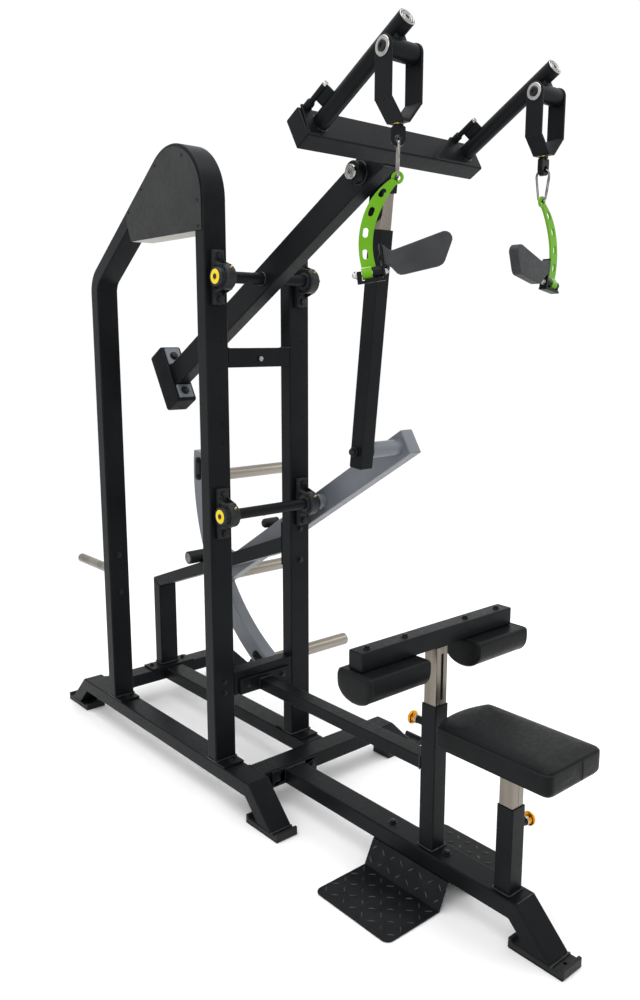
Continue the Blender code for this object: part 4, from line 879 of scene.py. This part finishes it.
def build_posts():
    refined("seat_post", "post", "seat", 0.0035)
    refined("thigh_post", "post", "thigh_support", 0.0035)
    refined("thigh_bar", "black", "thigh_support", 0.004)
    detent, face = [(0.0055, 0.0), (0.0055, 0.0003)], 0.0219
    # Painted shade: a thin near-black strip and discs on the thigh post stand in for the shade in its slot
    # and detent holes.
    slots = Shapes()
    front = THIGH_Y - 0.022
    outline = rounded_rectangle((-0.0045, 0.56), (0.0045, 0.69), 0.0044)
    slots.prism(outline, front - 0.0003, front + 0.001, "Y")
    for step in range(5):
        slots.lathe(detent, "Y", (0.0, THIGH_Y + face, 0.56 + 0.028 * step), 24)
    slots.emit("thigh_post_slot_shade", "slot", "thigh_support")
    # Painted shade: a thin near-black strip and discs on the seat post stand in for the shade in its slot
    # and detent holes.
    slots = Shapes()
    slots.block((-0.0003, 0.0003), (SEAT_Y - 0.0223, SEAT_Y - 0.0215), (0.365, 0.478))
    for step in range(4):
        slots.lathe(detent, "X", (face, SEAT_Y, 0.38 + 0.026 * step), 24)
    slots.emit("seat_post_slot_shade", "slot", "seat")
    bolts = Shapes()
    for x_at in (-0.252, -0.118, 0.118, 0.252):
        bolts.bolt((x_at, THIGH_Y + 0.004, 0.758), "Z", 0.013)
    bolts.emit("thigh_bar_bolts", "bolt", "thigh_support")
    bolts = Shapes()
    for x_at in (-0.045, 0.045):
        for y_at in (SEAT_Y - 0.055, SEAT_Y + 0.065):
            bolts.bolt((x_at, y_at, 0.4777), "-Z", 0.011)
    bolts.emit("seat_plate_bolts", "bolt", "seat")


def build_knob(name, axis, y_middle, z_at):
    """Turned pull knob with the bright ring and pin behind its head."""
    at = (0.0, y_middle, z_at)
    low, high = 0.06, 0.084
    knob = Shapes()
    near = ((0.0085, 0.004), (0.012, 0.005), (0.0128, 0.0075))
    far = ((0.0118, 0.0125), (0.0128, 0.0105), (0.0178, 0.0088), (0.019, 0.0068), (0.019, 0.0034),
           (0.018, 0.0012), (0.0155, 0.0), (0.012, 0.0), (0.0112, 0.0012), (0.0085, 0.0014),
           (0.001, 0.0016))
    knob.lathe([(r, low + a) for r, a in near] + [(r, high - a) for r, a in far], axis, at, 56)
    knob.emit(name + "_grip", "gold", name, (name,))
    ring = Shapes()
    collar = ((0.0095, -0.0014), (0.0122, -0.0006), (0.0122, 0.0042), (0.0095, 0.0052))
    ring.lathe([(r, low + a) for r, a in collar], axis, at, 40)
    ring.bar(0.005, 0.0228, low + 0.002, axis, at, sides=24)
    ring.emit(name + "_ring", "chrome", name)


CLOTH_FRAMES = 20
PRESSURE = 4.0
STIFFNESS = 40.0
SOFTNESS = 0.012
PROUD = 0.006


def baked(made):
    """The object's mesh as its modifiers leave it, with the modifiers taken off."""
    graph = bpy.context.evaluated_depsgraph_get()
    mesh = bpy.data.meshes.new_from_object(made.evaluated_get(graph))
    made.modifiers.clear()
    return mesh


def blown_up(made, cap):
    """Blow the shape up as cloth and let each vertex swell along its normal, at most by cap."""
    cloth = made.modifiers.new("Cloth", "CLOTH")
    cloth.settings.use_pressure = True
    cloth.settings.uniform_pressure_force = PRESSURE
    cloth.settings.effector_weights.gravity = 0.0
    cloth.settings.tension_stiffness = STIFFNESS
    cloth.settings.compression_stiffness = STIFFNESS
    cloth.point_cache.frame_start = 1
    cloth.point_cache.frame_end = CLOTH_FRAMES
    for step in range(1, CLOTH_FRAMES + 1):
        bpy.context.scene.frame_set(step)
    moved = baked(made)
    outward = [v.normal.copy() for v in made.data.vertices]
    for vertex, blown, normal in zip(made.data.vertices, moved.vertices, outward):
        swell = max(0.0, (blown.co - vertex.co).dot(normal))
        vertex.co += normal * cap * (1.0 - exp(-swell / SOFTNESS))
    bpy.context.scene.frame_set(1)


def soft_pad(node, name, body, shrink, voxel, cap, flat_top=False, flat_bottom=False):
    """Padded piece: the CAD solid, each half size less shrink, blown up as cloth and held to its cap."""
    low, high = (Vector(corner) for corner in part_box(node))
    middle, size = (low + high) / 2, (high - low) / 2
    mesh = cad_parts[node].data.copy()
    mesh.name = name
    made = bpy.data.objects.new(name, mesh)
    bpy.context.scene.collection.objects.link(made)
    for vertex in mesh.vertices:
        offset = vertex.co - middle
        for axis in range(3):
            offset[axis] *= (size[axis] - shrink[axis]) / size[axis]
        vertex.co = middle + offset
    remesh = made.modifiers.new("Remesh", "REMESH")
    remesh.mode = "VOXEL"
    remesh.voxel_size = voxel
    bpy.context.view_layer.update()
    made.data = baked(made)
    blown_up(made, cap)
    for vertex in made.data.vertices:
        for axis in range(3):
            vertex.co[axis] = min(max(vertex.co[axis], low[axis] - PROUD), high[axis] + PROUD)
        if flat_bottom and vertex.co.z < low.z + 0.004:
            vertex.co.z = low.z + 0.0002
        if flat_top and vertex.co.z > high.z - 0.004:
            vertex.co.z = high.z - 0.0002
    smooth = made.modifiers.new("Smooth", "SMOOTH")
    smooth.factor = 0.5
    smooth.iterations = 7
    rounder = made.modifiers.new("Subdivision", "SUBSURF")
    rounder.levels = 1
    rounder.render_levels = 1
    made.data = baked(made)
    material, slot = FINISHES["vinyl"]
    made.data.materials.clear()
    made.data.materials.append(material)
    made.data.shade_smooth()
    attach(made, body)
    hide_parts(node)
    return bvhtree.BVHTree.FromObject(made, bpy.context.evaluated_depsgraph_get()), low, high


def sewn(tree, points, radius, seams, closed=True):
    """Seam along the cushion's own surface, nearest to the points."""
    spots = []
    for point in points:
        place_on, normal, _, _ = tree.find_nearest(Vector(point))
        spots.append(place_on + normal * radius * 0.15)
    seams.wire(spots, radius, closed, 10)


def build_pads():
    tree, low, high = soft_pad("seat_pad", "seat_cushion", "seat", (-0.002, -0.003, 0.001), 0.004, 0.0045,
                               flat_bottom=True)
    seams = Shapes(IDENTITY)
    middle = (low + high) / 2
    width, length = (high.x - low.x) / 2, (high.y - low.y) / 2
    for level in (high.z - 0.0105, high.z - 0.0125):
        outline = rounded_rectangle((-width, -length), (width, length), 0.024, 10)
        dense = []
        for (x_at, y_at), (to_x, to_y) in zip(outline, outline[1:] + outline[:1]):
            steps = max(1, int(hypot(to_x - x_at, to_y - y_at) / 0.006))
            for share in (step / steps for step in range(steps)):
                x, y = middle.x + x_at + (to_x - x_at) * share, middle.y + y_at + (to_y - y_at) * share
                dense.append((x, y, level))
        sewn(tree, dense, 0.0009, seams)
    rise = high.z - low.z - 0.016
    for x_at in (0.0238, 0.0266):
        stitches = [(middle.x + x_at, low.y - 0.002, low.z + 0.006 + rise * t / 14) for t in range(15)]
        sewn(tree, stitches, 0.0014, seams, False)
    seams.emit("seat_cushion_seams", "thread", "seat")
    for side in ("left", "right"):
        tree, low, high = soft_pad(side + "_thigh_pad", side + "_thigh_cushion", "thigh_support",
                                   (0.0, 0.0, 0.0005), 0.005, 0.003, flat_top=True)
        seams = Shapes(IDENTITY)
        middle = (low + high) / 2
        for x_at in (low.x + 0.01, high.x - 0.01):
            ring = []
            for a, b in circle((0.0, 0.0), 1.0, 72):
                hit = tree.ray_cast(Vector((x_at, middle.y, middle.z)), Vector((0.0, a, b)))[0]
                if hit is not None:
                    ring.append(hit)
            sewn(tree, ring, 0.0011, seams)
        seams.emit(side + "_thigh_cushion_seams", "thread", "thigh_support")


# ---------------------------------------------------------------- stirrups and handles

def build_stirrup(side, matrix):
    body = side + "_stirrup"
    half, inner, outer = 0.024, 0.0425, 0.0495
    bend, toe, bottom, plate = -0.101, 0.012, STIRRUP_BOTTOM, 0.007
    bar = Shapes(matrix)
    for way in (-1.0, 1.0):
        outline = [(-half, bend - 0.002), (half, bend - 0.002)] + arc((0.0, 0.0), half, 0.0, pi, 24)
        bar.prism(outline, *sorted((way * inner, way * outer)), "X", 0.0014, 3)
    floor = bottom + plate
    outline = [(-outer, bend), (-toe, bottom), (toe, bottom), (outer, bend), (inner, bend + 0.002),
               (toe - 0.003, floor), (-toe + 0.003, floor), (-inner, bend + 0.002)]
    bar.prism(outline, -half, half, "Y", 0.0014, 3)
    bar.bar(0.008, -outer, outer, "X", sides=32)
    bar.emit(side + "_stirrup_bar", "black", body, (body,))
    chrome = Shapes(matrix)
    screws = Shapes(matrix)
    washer = ((0.019, 0.0), (0.0205, 0.0006), (0.0205, 0.0018), (0.0196, 0.0026), (0.013, 0.0026),
              (0.0124, 0.0018))
    head = ((0.0115, 0.001), (0.0115, 0.0038), (0.01, 0.0048), (0.0056, 0.0048), (0.0054, 0.0022),
            (0.0004, 0.002))
    for axis in ("X", "-X"):
        chrome.lathe([(r, outer + a) for r, a in washer], axis, sides=48)
        screws.lathe([(r, outer + a) for r, a in head], axis, sides=36)
    chrome.acorn((0.0, 0.0, floor), "Z", 0.008, 0.018)
    chrome.lathe([(0.0092, floor - 0.0002), (0.0092, floor + 0.0015), (0.007, floor + 0.0017)], sides=32)
    chrome.emit(side + "_stirrup_washers", "chrome", body)
    screws.emit(side + "_stirrup_screws", "bolt", body)


def build_swivel(side, matrix):
    body = side + "_swivel"
    swivel = Shapes(matrix)
    swivel.lathe([(0.0105, -0.0018), (0.0115, -0.0024), (0.0115, -0.0046), (0.0098, -0.0056),
                  (0.0095, -0.01)], sides=40)
    outline = arc((0.0, SWIVEL_EYE), 0.0155, pi, 2 * pi, 20)
    outline += [(0.0155, -0.0092), (0.0125, -0.0062), (-0.0125, -0.0062), (-0.0155, -0.0092)]
    part = bmesh.new()
    hole = circle((0.0, SWIVEL_EYE), 0.008, 32)
    layers = []
    for level in (-0.007, 0.007):
        outer_ring = [part.verts.new((a, level, b)) for a, b in outline]
        inner_ring = [part.verts.new((a, level, b)) for a, b in hole]
        edges = []
        for ring in (outer_ring, inner_ring):
            for index in range(len(ring)):
                edges.append(part.edges.new((ring[index], ring[(index + 1) % len(ring)])))
        bmesh.ops.triangle_fill(part, edges=edges, use_beauty=True)
        layers.append((outer_ring, inner_ring))
    for ring_index in range(2):
        first, second = layers[0][ring_index], layers[1][ring_index]
        for index in range(len(first)):
            after = (index + 1) % len(first)
            part.faces.new((first[index], first[after], second[after], second[index]))
    swivel.take(part)
    swivel.emit(side + "_swivel_eye", "black", body, (body,))
    ring = Shapes(matrix)
    ring.lathe([(0.0105, -0.0003), (0.0112, -0.0006), (0.0112, -0.0018), (0.0104, -0.0022)], sides=40)
    ring.emit(side + "_swivel_ring", "brass", body)


def build_carabiner(side, matrix):
    body = side + "_carabiner"
    hook = Shapes(matrix)
    top_radius, bottom_radius = 0.018, 0.011
    top_centre = (0.0, -top_radius)
    bottom_centre = (0.0, -CARABINER_LENGTH + bottom_radius)
    lean = asin((top_radius - bottom_radius) / (top_centre[1] - bottom_centre[1]))
    points = arc(top_centre, top_radius, -lean, pi + lean, 32)
    points += arc(bottom_centre, bottom_radius, pi + lean, 2 * pi - lean, 26)
    hook.wire([(0.0, a, b) for a, b in points], 0.003, True, 18)
    low = Vector((0.0, bottom_radius * cos(lean), bottom_centre[1] - bottom_radius * sin(lean)))
    high = Vector((0.0, top_radius * cos(lean), top_centre[1] - top_radius * sin(lean)))
    gate = [low.lerp(high, 0.1 + 0.84 * t / 12) for t in range(13)]
    hook.wire(gate, 0.0034, False, 18)
    rivet, reach = low.lerp(high, 0.13), Vector((0.0042, 0.0, 0.0))
    hook.wire([rivet - reach, rivet + reach], 0.0012)
    hook.emit(side + "_carabiner_hook", "hook", body, (body,))


def build_handle_plate(side, matrix):
    body = side + "_handle_plate"
    refined(body, "green", body, 0.0012, 3)
    weld = Shapes(matrix)
    for y_at in (-0.0042, 0.0042):
        weld.run(*(GRIP_HINGE @ Vector((x_at, y_at, 0.0118)) for x_at in (-0.0105, 0.0105)), 0.0021)
    weld.emit(side + "_handle_weld", "green_weld", body)


def build_grip(side, matrix):
    body = side + "_grip"
    bracket = Shapes(matrix)
    bracket.block((-0.023, 0.04), (-0.012, 0.012), (-0.0205, -0.0145), 0.0012)
    bracket.block((-0.023, -0.0125), (-0.009, 0.009), (-0.0175, 0.0065), 0.0015)
    bracket.block((0.034, 0.04), (-0.011, 0.011), (-0.018, 0.058), 0.0012)
    bracket.lathe([(0.0105, 0.0125), (0.0112, 0.0135), (0.0112, 0.0325), (0.0105, 0.0338)], "X", sides=40)
    bracket.bolt((0.0345, 0.0, 0.03), "-X", 0.009)
    bracket.emit(side + "_grip_bracket", "black", body, (body,))
    chrome = Shapes(matrix)
    chrome.lathe([(0.0095, -0.0232), (0.0095, -0.0246), (0.0075, -0.025)], "X", sides=32)
    chrome.acorn((-0.0245, 0.0, 0.0), "-X", 0.0078, 0.0092)
    chrome.lathe([(0.0085, 0.04), (0.0085, 0.0412), (0.007, 0.0415)], "X", sides=32)
    chrome.acorn((0.0412, 0.0, 0.0), "X", 0.007, 0.0086)
    chrome.bar(0.005, -0.023, 0.041, "X", sides=24)
    chrome.emit(side + "_grip_nuts", "chrome", body)
    outline = [
        (0.0405, 0.0165), (0.0405, 0.0545), (0.045, 0.052), (0.05, 0.0455), (0.056, 0.0405),
        (0.064, 0.0405), (0.176, 0.0625), (0.184, 0.0612), (0.1905, 0.056), (0.194, 0.048),
        (0.1935, 0.041), (0.172, 0.0), (0.1665, -0.0065), (0.159, -0.0092), (0.082, -0.0146),
        (0.074, -0.014), (0.067, -0.01), (0.0566, 0.004), (0.05, 0.011), (0.045, 0.0145),
    ]
    paddle = Shapes(matrix)
    paddle.prism(outline, -0.0135, 0.0135, "Y", 0.007, 5)
    paddle.emit(side + "_grip_paddle", "grip", body)


def build_handle(side, way):
    pivot = UPPER @ Vector((way * ARM_X, -SLEEVE_REACH, -SLEEVE_DROP))
    yaw = Matrix.Rotation(HANDLE_YAW[side], 4, "Z")
    build_stirrup(side, Matrix.Translation(pivot))
    collar = pivot + Vector((0.0, 0.0, STIRRUP_BOTTOM - 0.0003))
    build_swivel(side, Matrix.Translation(collar) @ yaw)
    hook = collar + Vector((0.0, 0.0, SWIVEL_EYE + 0.0008))
    build_carabiner(side, Matrix.Translation(hook) @ yaw)
    eye = hook - Vector((0.0, 0.0, CARABINER_LENGTH + 0.0008))
    build_handle_plate(side, Matrix.Translation(eye) @ yaw)
    build_grip(side, Matrix.Translation(eye) @ yaw @ GRIP_HINGE)


# ---------------------------------------------------------------- studio

def area_light(name, position, target, size, power):
    data = bpy.data.lights.new(name, "AREA")
    data.shape = "RECTANGLE"
    data.size, data.size_y = size
    data.energy = power
    light = bpy.data.objects.new(name, data)
    bpy.context.scene.collection.objects.link(light)
    light.location = position
    light.rotation_euler = (Vector(target) - Vector(position)).to_track_quat("-Z", "Y").to_euler()


def build_studio():
    mesh = bpy.data.meshes.new("studio_floor")
    reach = (-40.0, 40.0)
    mesh.from_pydata(square_corners(reach, reach, -0.0005), [], [(0, 1, 2, 3)])
    floor = bpy.data.objects.new("studio_floor", mesh)
    bpy.context.scene.collection.objects.link(floor)
    mesh.materials.append(finish("pale_floor", (0.965, 0.965, 0.965), (0.98, 0.98, 0.98), (0.85, 0.95),
                                 (30.0, 0.02, 0.0005), mottling=1.0))
    world = bpy.data.worlds.new("studio_air")
    world.use_nodes = True
    air = world.node_tree.nodes["Background"]
    air.inputs["Color"].default_value = (1.0, 1.0, 1.0, 1.0)
    air.inputs["Strength"].default_value = 1.03
    bpy.context.scene.world = world
    bpy.context.scene.view_settings.view_transform = "Standard"
    area_light("overhead", (-0.6, -0.6, 4.2), (0.0, 0.0, 0.6), (3.2, 3.2), 85.0)
    area_light("front_left", (-3.2, -2.6, 2.8), (0.0, -0.2, 0.9), (2.0, 2.6), 26.0)
    area_light("right_rim", (3.4, -1.2, 2.6), (0.0, 0.0, 0.9), (1.6, 2.6), 22.0)

    camera_data = bpy.data.cameras.new("camera")
    camera_data.lens = 49.163
    camera_data.sensor_width = 36.0
    camera_data.sensor_fit = "HORIZONTAL"
    camera = bpy.data.objects.new("camera", camera_data)
    bpy.context.scene.collection.objects.link(camera)
    camera.location = MACHINE @ Vector((-1.6754, -2.248, 1.5066))
    camera.rotation_euler = (radians(90.0 - 10.4142), 0.0, radians(-40.5665))
    bpy.context.scene.camera = camera


build_studio()
build_frame()
build_hoop()
build_shroud()
build_tread()
build_storage_peg()
build_bearings()
build_shafts()
build_upper_lever()
build_link()
build_lower_lever()
build_posts()
build_knob("thigh_knob", "Y", THIGH_Y, 0.477)
build_knob("seat_knob", "X", SEAT_Y, 0.292)
build_pads()
for side_name, side_way in (("left", -1.0), ("right", 1.0)):
    build_pull_arm(side_name, side_way)
    build_handle(side_name, side_way)
